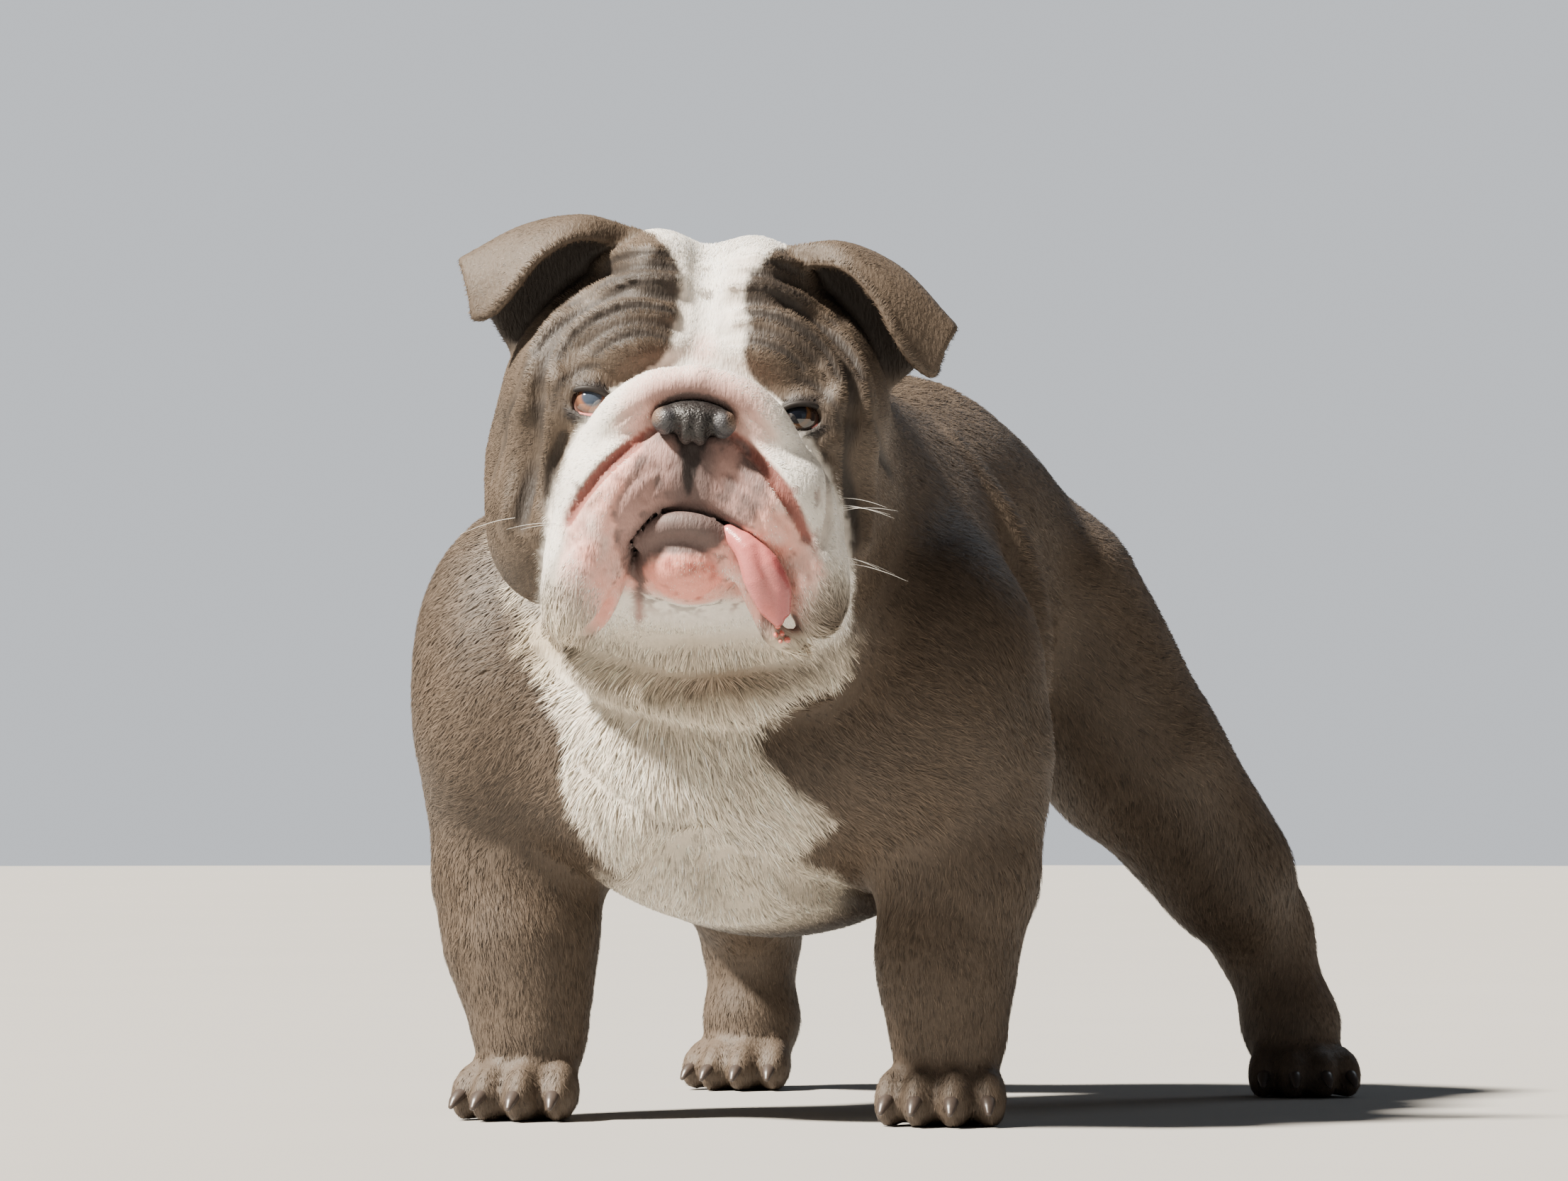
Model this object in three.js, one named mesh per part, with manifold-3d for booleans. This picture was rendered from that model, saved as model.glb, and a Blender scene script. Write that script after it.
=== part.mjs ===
// An english bulldog, standing, life size. Units are millimetres, +Z is up.
// The dog faces -Y and its left side is +X. Sizes are first given from a point on the floor midway between
// the front feet; the finished group is then moved so that its box stands centred on the origin.
// The body is one field of rounded forms: bones and muscles are joined softly, creases are cut softly. Its
// surface is meshed, thinned to the faces the shape needs, and parted with thin cuts into named pieces.
import * as THREE from 'three';
import Module from 'manifold-3d';

const wasm = await Module();
wasm.setup();
const { Manifold, Mesh } = wasm;

// Gaps and mesh sizes
const GAP = 0.3;
const HEAD_STEP = 2.5;
const BODY_STEP = 5;
const NOSE_STEP = 1.5;
const JAW_STEP = 2.5;
const HEAD_FACES = 5600;
const BODY_FACES = 4350;
const EVENING_ROUNDS = 3;

// Head: where it is held, and how it is turned (degrees)
const HEAD_AT = [7, -87, 361];
const HEAD_YAW = 17.5;
const HEAD_ROLL = 4;
const EYE_RADIUS = 12;
const EYE_AT = [53, -49, 4.5];

// Trunk: the midline drifts to the dog's left toward the rump
const MIDLINE_FRONT = -14;
const MIDLINE_DRIFT = 0.13;
const midline = (y) => MIDLINE_FRONT + MIDLINE_DRIFT * y;

// Joint points of the four legs. Each entry is x, y, z and the radius of the limb there.
const FORE_LEFT = {
  bones: [[122, 22, 190, 46], [119, 14, 128, 42], [115, 5, 88, 37], [116, 2, 68, 33],
    [117.5, 0, 46, 29]],
  paw: [118, -8], turn: 6, size: 1,
};
const FORE_RIGHT = {
  bones: [[-126, 22, 190, 48], [-124, 14, 128, 45], [-119, 6, 92, 41], [-114, 2, 64, 33],
    [-112, 0, 46, 28.5]],
  paw: [-112, -8], turn: -6, size: 1,
};
const HIND_LEFT = {
  bones: [[78, 322, 274, 60], [126, 354, 188, 49], [168, 392, 122, 37], [181, 416, 92, 29],
    [200, 410, 40, 27]],
  paw: [208, 398], turn: 24, size: 0.92,
  thigh: [[[88, 350, 236], [50, 62, 82], [0, -26, 0]], [[146, 386, 158], [34, 42, 58], [16, -32, 0]]],
};
const HIND_RIGHT = {
  bones: [[-22, 322, 274, 60], [-100, 338, 184, 50], [-115, 384, 118, 36], [-119, 412, 90, 29],
    [-118, 410, 40, 27]],
  paw: [-119, 400], turn: -6, size: 0.92,
  thigh: [[[-54, 350, 236], [50, 62, 82], [0, 24, 0]], [[-106, 374, 158], [34, 42, 56], [16, 8, 0]]],
};

const LEGS = { fore_left: FORE_LEFT, fore_right: FORE_RIGHT, hind_left: HIND_LEFT, hind_right: HIND_RIGHT };
const SIDES = [['left', 1], ['right', -1]];
const TOES = [[-25, -8], [-9, -20], [9, -20], [25, -8]];

const radians = THREE.MathUtils.degToRad;
const clamp = THREE.MathUtils.clamp;
const mix = (a, b, t) => a + (b - a) * t;

// Smooth union and smooth cut of two distances, over a width k
function join(a, b, k) {
  const h = Math.max(k - Math.abs(a - b), 0) / k;
  return Math.min(a, b) - h * h * k * 0.25;
}
const carve = (a, b, k) => -join(-a, b, k);

// An ellipsoid, turned by angles in degrees about X, Y and Z
function ball(at, radii, k, turn = [0, 0, 0]) {
  const m = new THREE.Matrix4().makeRotationFromEuler(new THREE.Euler(...turn.map(radians), 'ZYX')).elements;
  const [cx, cy, cz] = at;
  const [a, b, c] = radii.map((r) => 1 / r);
  const core = -Math.min(...radii);
  const distance = (x, y, z) => {
    const px = x - cx, py = y - cy, pz = z - cz;
    const u = (m[0] * px + m[1] * py + m[2] * pz) * a;
    const v = (m[4] * px + m[5] * py + m[6] * pz) * b;
    const w = (m[8] * px + m[9] * py + m[10] * pz) * c;
    const near = Math.sqrt(u * u + v * v + w * w);
    const slope = Math.sqrt(u * u * a * a + v * v * b * b + w * w * c * c);
    return near < 1e-6 ? core : (near * (near - 1)) / slope;
  };
  return { distance, k, centre: at, reach: Math.max(...radii) };
}

// A round limb between two points [x, y, z, radius]
function limb(from, to, k) {
  const [ax, ay, az, r0] = from;
  const [bx, by, bz, r1] = to;
  const dx = bx - ax, dy = by - ay, dz = bz - az;
  const length2 = dx * dx + dy * dy + dz * dz;
  const distance = (x, y, z) => {
    const px = x - ax, py = y - ay, pz = z - az;
    const t = clamp((px * dx + py * dy + pz * dz) / length2, 0, 1);
    return Math.hypot(px - dx * t, py - dy * t, pz - dz * t) - (r0 + (r1 - r0) * t);
  };
  const centre = [(ax + bx) / 2, (ay + by) / 2, (az + bz) / 2];
  return { distance, k, centre, reach: Math.sqrt(length2) / 2 + Math.max(r0, r1) };
}

// Limbs chained through a list of points
const chain = (points, k) => points.slice(1).map((point, i) => limb(points[i], point, k));

// A soft rope along a smooth curve through points [x, y, z, radius]: a fold or, cut out, a crease
function rope(points, k, steps = 4) {
  const curve = new THREE.CatmullRomCurve3(points.map(([x, y, z]) => new THREE.Vector3(x, y, z)));
  const last = points.length - 1;
  const knots = Array.from({ length: last * steps + 1 }, (_, i) => {
    const s = i / steps, j = Math.min(Math.floor(s), last - 1);
    return [...curve.getPoint(s / last).toArray(), mix(points[j][3], points[j + 1][3], s - j)];
  });
  const limbs = chain(knots, k);
  const sphere = new THREE.Sphere().setFromPoints(knots.map(([x, y, z]) => new THREE.Vector3(x, y, z)));
  const thick = Math.max(...points.map((point) => point[3]));
  const distance = (x, y, z) => {
    let d = Infinity;
    for (const part of limbs) d = Math.min(d, part.distance(x, y, z));
    return d;
  };
  return { distance, k, centre: sphere.center.toArray(), reach: sphere.radius + thick };
}

const cut = (form) => ({ ...form, cuts: true });

// The joined distance of a list of forms, taken in order. A form too far away to matter is passed over.
function fieldOf(forms) {
  return (x, y, z) => {
    let d = 1e3;
    for (const form of forms) {
      const [cx, cy, cz] = form.centre;
      const away = Math.hypot(x - cx, y - cy, z - cz) - form.reach;
      if (form.cuts) {
        if (away < form.k - d && away < form.k + 8) d = carve(d, form.distance(x, y, z), form.k);
      } else if (away * 0.5 < d + form.k) {
        d = join(d, form.distance(x, y, z), form.k);
      }
    }
    return d;
  };
}

// A point of a field's surface met by a line along +Y from the front, at x and z, and the way out from it
function facing(field, x, z) {
  let y = -170;
  for (let i = 0; i < 60; i++) {
    const d = field(x, y, z);
    if (d < 0.05) break;
    y += Math.max(0.6 * d, 0.1);
  }
  const e = 1.5;
  const out = new THREE.Vector3(
    field(x + e, y, z) - field(x - e, y, z),
    field(x, y + e, z) - field(x, y - e, z),
    field(x, y, z + e) - field(x, y, z - e),
  ).normalize();
  return { at: new THREE.Vector3(x, y, z), out };
}

// A fold or crease laid on the front of a field: points [x, z, radius], sunk by a part of the radius
function laid(field, points, sink, k) {
  return rope(points.map(([x, z, r]) => {
    const { at, out } = facing(field, x, z);
    return [...at.addScaledVector(out, -sink * r).toArray(), r];
  }), k);
}

// The two loose folds of skin behind each shoulder: distance out from the middle, y, z and radius. The
// shoulder stands farther out on the right, so the folds lie a little deeper there.
const FOLD_DEPTH = { left: 0, right: 7 };
const FLANK_FOLDS = [
  [[88, 98, 356, 10], [112, 104, 318, 15], [126, 106, 272, 18], [128, 104, 228, 17], [118, 98, 182, 12]],
  [[84, 142, 350, 10], [106, 146, 312, 14], [116, 148, 270, 16], [116, 144, 226, 14], [104, 136, 186, 10]],
];

// Trunk: rib cage, fore chest, back line from the withers over the loin to the rump, belly, shoulders,
// flank folds, tail, the point of the left elbow, and the hollow under the breast
function trunkForms() {
  const spine = [[50, 298, 76], [120, 298, 74], [175, 307, 75], [232, 315, 77], [292, 298, 73],
    [334, 270, 63]];
  const forms = [
    ball([midline(110), 112, 236], [124, 152, 128], 30, [5, 0, 0]),
    ball([midline(0) + 6, -8, 190], [102, 76, 84], 30),
    ball([midline(90), 90, 160], [90, 118, 66], 30, [6, 0, 0]),
    ...chain(spine.map(([y, z, r]) => [midline(y), y, z, r]), 40),
    ball([midline(228), 228, 248], [88, 104, 78], 30),
    ball([midline(325), 328, 266], [86, 72, 80], 30),
    ...chain([[36, 385, 300, 24], [38, 408, 282, 17], [40, 424, 258, 11], [41, 430, 240, 7]], 10),
  ];
  for (const side of [-1, 1]) {
    const [x, deep] = side < 0 ? [-118, FOLD_DEPTH.right] : [103, FOLD_DEPTH.left];
    const blade = side < 0 ? [-106, 24, 266, 66] : [87, 24, 250, 60];
    forms.push(
      limb([side * 62 + midline(90), 95, 320, 50], blade, 40),
      ball([x, 12, 215], [62, 74, 86], 34),
      ball([x + side * 4, 34, 160], [46, 52, 52], 26),
      ...FLANK_FOLDS.map((fold) => rope(fold.map(([out, y, z, r]) => [side * (out - deep), y, z, r]), 9)),
    );
  }
  forms.push(ball([137, 60, 158], [15, 17, 20], 8), cut(ball([4, -86, 104], [44, 56, 50], 18)));
  return forms;
}

// Neck from the nape to the throat, with the folds of the dewlap
function neckForms() {
  return [
    limb([10, -62, 322, 88], [midline(70), 70, 296, 102], 30),
    limb([8, -34, 352, 82], [midline(80), 85, 306, 76], 36),
    ball([16, -50, 262], [72, 48, 46], 24),
    rope([[-72, -52, 262, 13], [-48, -80, 238, 15], [-10, -97, 228, 16], [25, -100, 222, 16],
      [55, -75, 230, 15], [78, -28, 252, 13]], 12),
    rope([[-42, -88, 256, 9], [12, -106, 246, 11], [54, -90, 252, 9]], 10),
  ];
}

// A leg: limbs through its joints, and a paw with four toes spread in an arc
function legForms({ bones, paw, turn, size, thigh = [] }) {
  const c = Math.cos(radians(turn)), s = Math.sin(radians(turn));
  const place = (x, y, z) => [paw[0] + size * (x * c - y * s), paw[1] + size * (x * s + y * c), size * z];
  const radii = (list) => list.map((r) => r * size);
  const last = bones[bones.length - 1];
  const forms = [
    ...chain(bones, 14),
    limb(last, [...place(0, 6, 17), 23 * size], 12),
    ball(place(0, 4, 15), radii([25, 27, 19]), 8, [0, 0, turn]),
    ball(place(0, 14, 8), radii([20, 22, 13]), 6, [0, 0, turn]),
  ];
  forms.push(...thigh.map(([at, radii, tilt]) => ball(at, radii, 26, tilt)));
  for (const [x, y] of TOES) {
    forms.push(
      ball(place(x, y, 15), radii([9.5, 17, 15.5]), 9, [0, 0, turn + x * 0.5]),
      ball(place(x * 1.04, y - 8, 10), radii([8.5, 11, 12]), 5, [0, 0, turn + x * 0.5]),
    );
  }
  return forms;
}

// Skull, cheeks and muzzle, in the head's own frame: x to the dog's left, y backward, z up
function skullForms() {
  const forms = [
    ball([0, 22, 20], [96, 78, 74], 20),
    ball([-3, 26, -22], [105, 66, 80], 20),
    ball([0, -46, -25], [58, 50, 42], 16),
    ball([0, 4, -76], [66, 66, 38], 20),
  ];
  for (const side of [-1, 1]) {
    const at = (x, y, z) => [side * x, y, z];
    forms.push(
      ball(at(25, 6, 65), [30, 54, 36], 12),
      ball(at(56, -8, 8), [44, 50, 50], 14),
      ball(at(side < 0 ? 70 : 64, 0, -52), [35, 50, 46], 16),
      ball(at(36, -34, 38), [30, 26, 24], 12),
    );
  }
  return forms;
}

// Folds of the face: the roll over the nose, flews, lids, brows and wrinkles
function foldForms(skull) {
  const folds = [];
  for (const side of [-1, 1]) {
    const at = (x, y, z, ...rest) => [side * x, y, z, ...rest];
    const line = (points) => points.map(([x, z, r]) => [side * x, z, r]);
    const left = side > 0;
    folds.push(
      ball(at(left ? 40 : 36, -66, -38), [left ? 34 : 32, 33, 32], 12),
      ball(left ? [63, -60, -65] : [-49, -63, -70], left ? [20, 28, 37] : [23, 29, 42], 10,
        [0, left ? -14 : 6, 0]),
      ball(left ? [69, -53, -84] : [-53, -58, -93], left ? [14, 22, 21] : [18, 23, 22], 8),
      rope([[0, -86, 19, 9.5], at(21, -85, 14, 11), at(36, -79, 1, 13), at(49, -71, -18, 11.5),
        at(60, -62, -38, 9), at(67, -52, -58, 6)], 4),
      ball(at(...EYE_AT), [16, 15.5, 15], 6),
      laid(skull, line([[71, 14, 6], [73, -8, 7], [73, -34, 7], [72, -60, 6]]), 0.3, 6),
      laid(skull, line([[72, 16, 5], [74, 27, 6], [66, 40, 6], [52, 52, 5.5], [36, 58, 5.5], [18, 55, 5]]),
        0.4, 6),
      laid(skull, line([[87, 2, 6], [86, 22, 6.5], [77, 44, 6.5], [60, 62, 6], [38, 71, 6], [14, 72, 5]]),
        0.5, 7),
      laid(skull, line([[91, -4, 8], [91, -28, 9], [91, -54, 8]]), 0.7, 8),
      laid(skull, line([[64, 76, 5], [46, 84, 6], [26, 86, 5]]), 0.6, 6),
    );
  }
  return folds;
}

// Creases, cut along the foot of the nose roll, down the cheeks, between the wrinkles, and down the midline
function creaseForms(face) {
  const creases = [];
  for (const side of [-1, 1]) {
    const line = (points) => points.map(([x, z, r]) => [side * x, z, r]);
    creases.push(
      laid(face, line([[21, -6, 2.4], [31, -15, 3.2], [41, -25, 3.4], [49, -35, 3.2], [56, -46, 2.8],
        [61, -56, 2.2]]), 0.5, 2.5),
      laid(face, line([[80, 10, 4], [80, -12, 5], [82, -34, 5.5], [86, -58, 4]]), 0, 5),
      laid(face, line([[12, 63, 3], [36, 64.5, 3.5], [54, 58, 3.5], [70, 44, 3.5], [80, 24, 4], [80, 8, 4]]),
        0.1, 4),
      laid(face, line([[12, 46, 3], [30, 49, 3.5], [46, 45, 3.5], [60, 35, 3]]), -0.2, 4),
      laid(face, line([[12, 79, 3], [36, 79, 3.5], [56, 72, 3.5], [72, 60, 3.5]]), 0.1, 4),
      laid(face, line([[8, 31, 4], [22, 26, 5], [36, 19, 4.5], [44, 14, 3]]), -0.6, 6),
    );
  }
  creases.push(
    laid(face, [[0, -16, 2], [1, -28, 2.6], [3, -40, 3]], 0, 3),
    laid(face, [[-29, -86, 2.5], [-22, -68, 3], [-10, -51, 3.2], [3, -45, 3.2], [17, -51, 3], [31, -58, 3],
      [44, -70, 2.5]], 0, 3),
    laid(face, [[0, 36, 5], [0, 58, 5], [0, 78, 5], [0, 92, 4]], -0.6, 8),
  );
  return creases.map(cut);
}

// The almond openings between the lids
function lidOpenings() {
  const [x, y, z] = EYE_AT;
  return [-1, 1].map((side) => cut(ball([side * (x + 1), y - 16, z + 1], [12.5, 11, 7.8], 1.2,
    [0, side * -8, 0])));
}

// Lower jaw: chin, lower lip, and the lip's wet corner at the dog's left, where the tongue hangs out
function jawForms() {
  return [
    ball([2, -62, -71], [27, 31, 22], 8),
    ball([2, -40, -74], [32, 34, 18], 8),
    rope([[-22, -78, -62, 6], [-9, -88, -54, 7], [6, -89, -54, 7], [20, -83, -60, 7]], 6),
    cut(rope([[-20, -88, -70, 2], [-6, -96, -65, 3], [8, -96, -65, 3], [19, -88, -71, 2]], 3)),
    rope([[16, -84, -62, 6], [30, -78, -76, 6], [41, -74, -95, 6], [49, -73, -106, 6.5],
      [58, -68, -109, 6]], 5),
  ];
}

// Tongue: two strands, folded lengthwise
function tongueForms() {
  return [
    rope([[22, -86, -56, 5], [31, -91, -64, 6.5], [37, -90, -78, 7], [44, -86, -91, 6],
      [49, -83, -98, 3.5]], 2),
    rope([[30, -88, -59, 4.5], [42, -91, -70, 6], [49, -88, -82, 6], [51, -84, -93, 4.5]], 2),
  ];
}

// Nose leather, with its wings, nostrils and the groove between them
function noseForms() {
  const forms = [ball([0, -88, 1.5], [18.5, 15, 11], 3)];
  for (const side of [-1, 1]) {
    const at = (x, y, z, ...rest) => [side * x, y, z, ...rest];
    forms.push(
      ball(at(14.5, -94, -1.5), [7, 9.5, 7.6], 2.5),
      ball(at(3.6, -96, -4), [5, 8, 9.5], 3),
      cut(rope([at(8.2, -106, 4, 1), at(8.4, -105, -1, 1.6), at(8.8, -103, -5, 2.6), at(9.8, -101, -8.5, 3.8)], 1)),
      cut(rope([at(10.5, -101, -9.5, 3), at(15.5, -99, -9.6, 2), at(21, -93, -7, 1.8)], 1)),
    );
  }
  forms.push(cut(rope([[0, -106.5, 2, 1.6], [0, -105, -13, 2]], 1.2)));
  return forms;
}

// A frame for the head, and its inverse as plain numbers
const HEAD_FRAME = new THREE.Matrix4().makeTranslation(...HEAD_AT)
  .multiply(new THREE.Matrix4().makeRotationZ(radians(HEAD_YAW)))
  .multiply(new THREE.Matrix4().makeRotationY(radians(HEAD_ROLL)));
const TO_HEAD = HEAD_FRAME.clone().invert().elements;
const HEAD_REACH = 190;

const skullField = fieldOf(skullForms());
const faceField = fieldOf([...skullForms(), ...foldForms(skullField)]);
const headField = fieldOf([...skullForms(), ...foldForms(skullField), ...creaseForms(faceField),
  ...lidOpenings()]);
const bodyField = fieldOf([...trunkForms(), ...neckForms(), ...Object.values(LEGS).flatMap(legForms)]);

// The whole dog, without eyes, ears, nose, jaw, tongue and claws
function dogField(x, y, z) {
  const d = bodyField(x, y, z);
  const dx = x - HEAD_AT[0], dy = y - HEAD_AT[1], dz = z - HEAD_AT[2];
  if (dx * dx + dy * dy + dz * dz > HEAD_REACH * HEAD_REACH) return d;
  const m = TO_HEAD;
  const hx = m[0] * x + m[4] * y + m[8] * z + m[12];
  const hy = m[1] * x + m[5] * y + m[9] * z + m[13];
  const hz = m[2] * x + m[6] * y + m[10] * z + m[14];
  return join(d, headField(hx, hy, hz), 12);
}

// Surface of a field inside a box, marching through the six tetrahedra of each cell
const CORNERS = [[0, 0, 0], [1, 0, 0], [1, 1, 0], [0, 1, 0], [0, 0, 1], [1, 0, 1], [1, 1, 1], [0, 1, 1]];
const TETRAHEDRA = [[0, 5, 1, 6], [0, 1, 2, 6], [0, 2, 3, 6], [0, 3, 7, 6], [0, 7, 4, 6], [0, 4, 5, 6]];
const BLOCK = 6;
function surfaceOf(field, low, high, step) {
  const size = low.map((v, i) => Math.ceil((high[i] - v) / step / BLOCK) * BLOCK);
  const nx = size[0] + 1, ny = size[1] + 1;
  const values = new Map();
  const made = new Map();
  const points = [];
  const faces = [];
  const key = (i, j, k) => (k * ny + j) * nx + i;
  const place = (i, j, k) => [low[0] + i * step, low[1] + j * step, low[2] + k * step];
  const valueAt = (i, j, k) => {
    const id = key(i, j, k);
    let v = values.get(id);
    if (v !== undefined) return v;
    v = field(low[0] + i * step, low[1] + j * step, low[2] + k * step);
    const rim = i === 0 || j === 0 || k === 0 || i === size[0] || j === size[1] || k === size[2];
    if (rim) v = Math.max(v, 1e-3 * step);
    if (Math.abs(v) < 1e-3 * step) v = Math.sign(v || 1) * 1e-3 * step;
    values.set(id, v);
    return v;
  };
  const vertexOn = (a, b) => {
    const ka = key(...a), kb = key(...b);
    const [p, q] = ka < kb ? [a, b] : [b, a];
    const id = Math.min(ka, kb) * 8 + (q[0] - p[0]) + 2 * (q[1] - p[1]) + 4 * (q[2] - p[2]);
    if (made.has(id)) return made.get(id);
    const t = valueAt(...p) / (valueAt(...p) - valueAt(...q));
    const from = place(...p), to = place(...q);
    points.push(mix(from[0], to[0], t), mix(from[1], to[1], t), mix(from[2], to[2], t));
    made.set(id, points.length / 3 - 1);
    return points.length / 3 - 1;
  };
  const triangle = (a, b, c, inner) => {
    const [i, j, k] = [3 * a, 3 * b, 3 * c];
    const ux = points[j] - points[i], uy = points[j + 1] - points[i + 1], uz = points[j + 2] - points[i + 2];
    const vx = points[k] - points[i], vy = points[k + 1] - points[i + 1], vz = points[k + 2] - points[i + 2];
    const [wx, wy, wz] = place(...inner);
    const out = (uy * vz - uz * vy) * (points[i] - wx) + (uz * vx - ux * vz) * (points[i + 1] - wy)
      + (ux * vy - uy * vx) * (points[i + 2] - wz);
    if (out > 0) faces.push(a, b, c);
    else faces.push(a, c, b);
  };
  const cell = (i, j, k) => {
    const ids = CORNERS.map(([x, y, z]) => [i + x, j + y, k + z]);
    const v = ids.map((id) => valueAt(...id));
    if (v.every((w) => w > 0) || v.every((w) => w < 0)) return;
    for (const tet of TETRAHEDRA) {
      const inside = tet.filter((c) => v[c] < 0);
      const outside = tet.filter((c) => v[c] > 0);
      if (inside.length === 2) {
        const [p, q] = inside, [r, s] = outside;
        const a = vertexOn(ids[p], ids[r]), b = vertexOn(ids[p], ids[s]);
        const c = vertexOn(ids[q], ids[s]), d = vertexOn(ids[q], ids[r]);
        triangle(a, b, c, ids[p]);
        triangle(a, c, d, ids[q]);
      } else if (inside.length !== 0 && outside.length !== 0) {
        const [one, others] = inside.length === 1 ? [inside[0], outside] : [outside[0], inside];
        const [a, b, c] = others.map((o) => vertexOn(ids[one], ids[o]));
        triangle(a, b, c, ids[inside[0]]);
      }
    }
  };
  const reach = Math.sqrt(3) * BLOCK * step;
  const half = BLOCK / 2;
  for (let bk = 0; bk < size[2]; bk += BLOCK) {
    for (let bj = 0; bj < size[1]; bj += BLOCK) {
      for (let bi = 0; bi < size[0]; bi += BLOCK) {
        const middle = field(...place(bi + half, bj + half, bk + half));
        const atRim = [bi, bj, bk].some((b, i) => b === 0 || b + BLOCK === size[i]);
        if (middle > reach || (middle < -reach && !atRim)) continue;
        for (let n = 0; n < BLOCK ** 3; n++) {
          cell(bi + (n % BLOCK), bj + (Math.floor(n / BLOCK) % BLOCK), bk + Math.floor(n / BLOCK / BLOCK));
        }
      }
    }
  }
  return { points, faces };
}

// Evening out: each point is drawn to the middle of its neighbours, then put back on the field's surface
function evened({ points, faces }, field, step) {
  let now = points;
  for (let round = 0; round < EVENING_ROUNDS; round++) {
    const normals = normalsOf({ points: now, faces });
    const sum = new Float64Array(points.length);
    const count = new Uint16Array(points.length / 3);
    for (let f = 0; f < faces.length; f++) {
      const v = faces[f], next = faces[f % 3 === 2 ? f - 2 : f + 1];
      for (let c = 0; c < 3; c++) sum[3 * v + c] += now[3 * next + c];
      count[v]++;
    }
    const moved = now.slice();
    for (let v = 0; v < points.length; v += 3) {
      const middle = [0, 1, 2].map((c) => sum[v + c] / count[v / 3]);
      const away = field(...middle);
      if (Math.abs(away) < step) for (let c = 0; c < 3; c++) moved[v + c] = middle[c] - away * normals[v + c];
    }
    now = moved;
  }
  return { points: now, faces };
}

// The outward directions of a list's points, one unit long
function normalsOf({ points, faces }) {
  const normals = new Float64Array(points.length);
  for (let f = 0; f < faces.length; f += 3) {
    const [a, b, c] = [0, 1, 2].map((i) => new THREE.Vector3().fromArray(points, 3 * faces[f + i]));
    const normal = b.sub(a).cross(c.sub(a)).toArray();
    for (let i = 0; i < 9; i++) normals[3 * faces[f + Math.floor(i / 3)] + (i % 3)] += normal[i % 3];
  }
  for (let v = 0; v < points.length; v += 3) {
    const length = Math.hypot(normals[v], normals[v + 1], normals[v + 2]) || 1;
    for (let i = 0; i < 3; i++) normals[v + i] /= length;
  }
  return normals;
}

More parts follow.
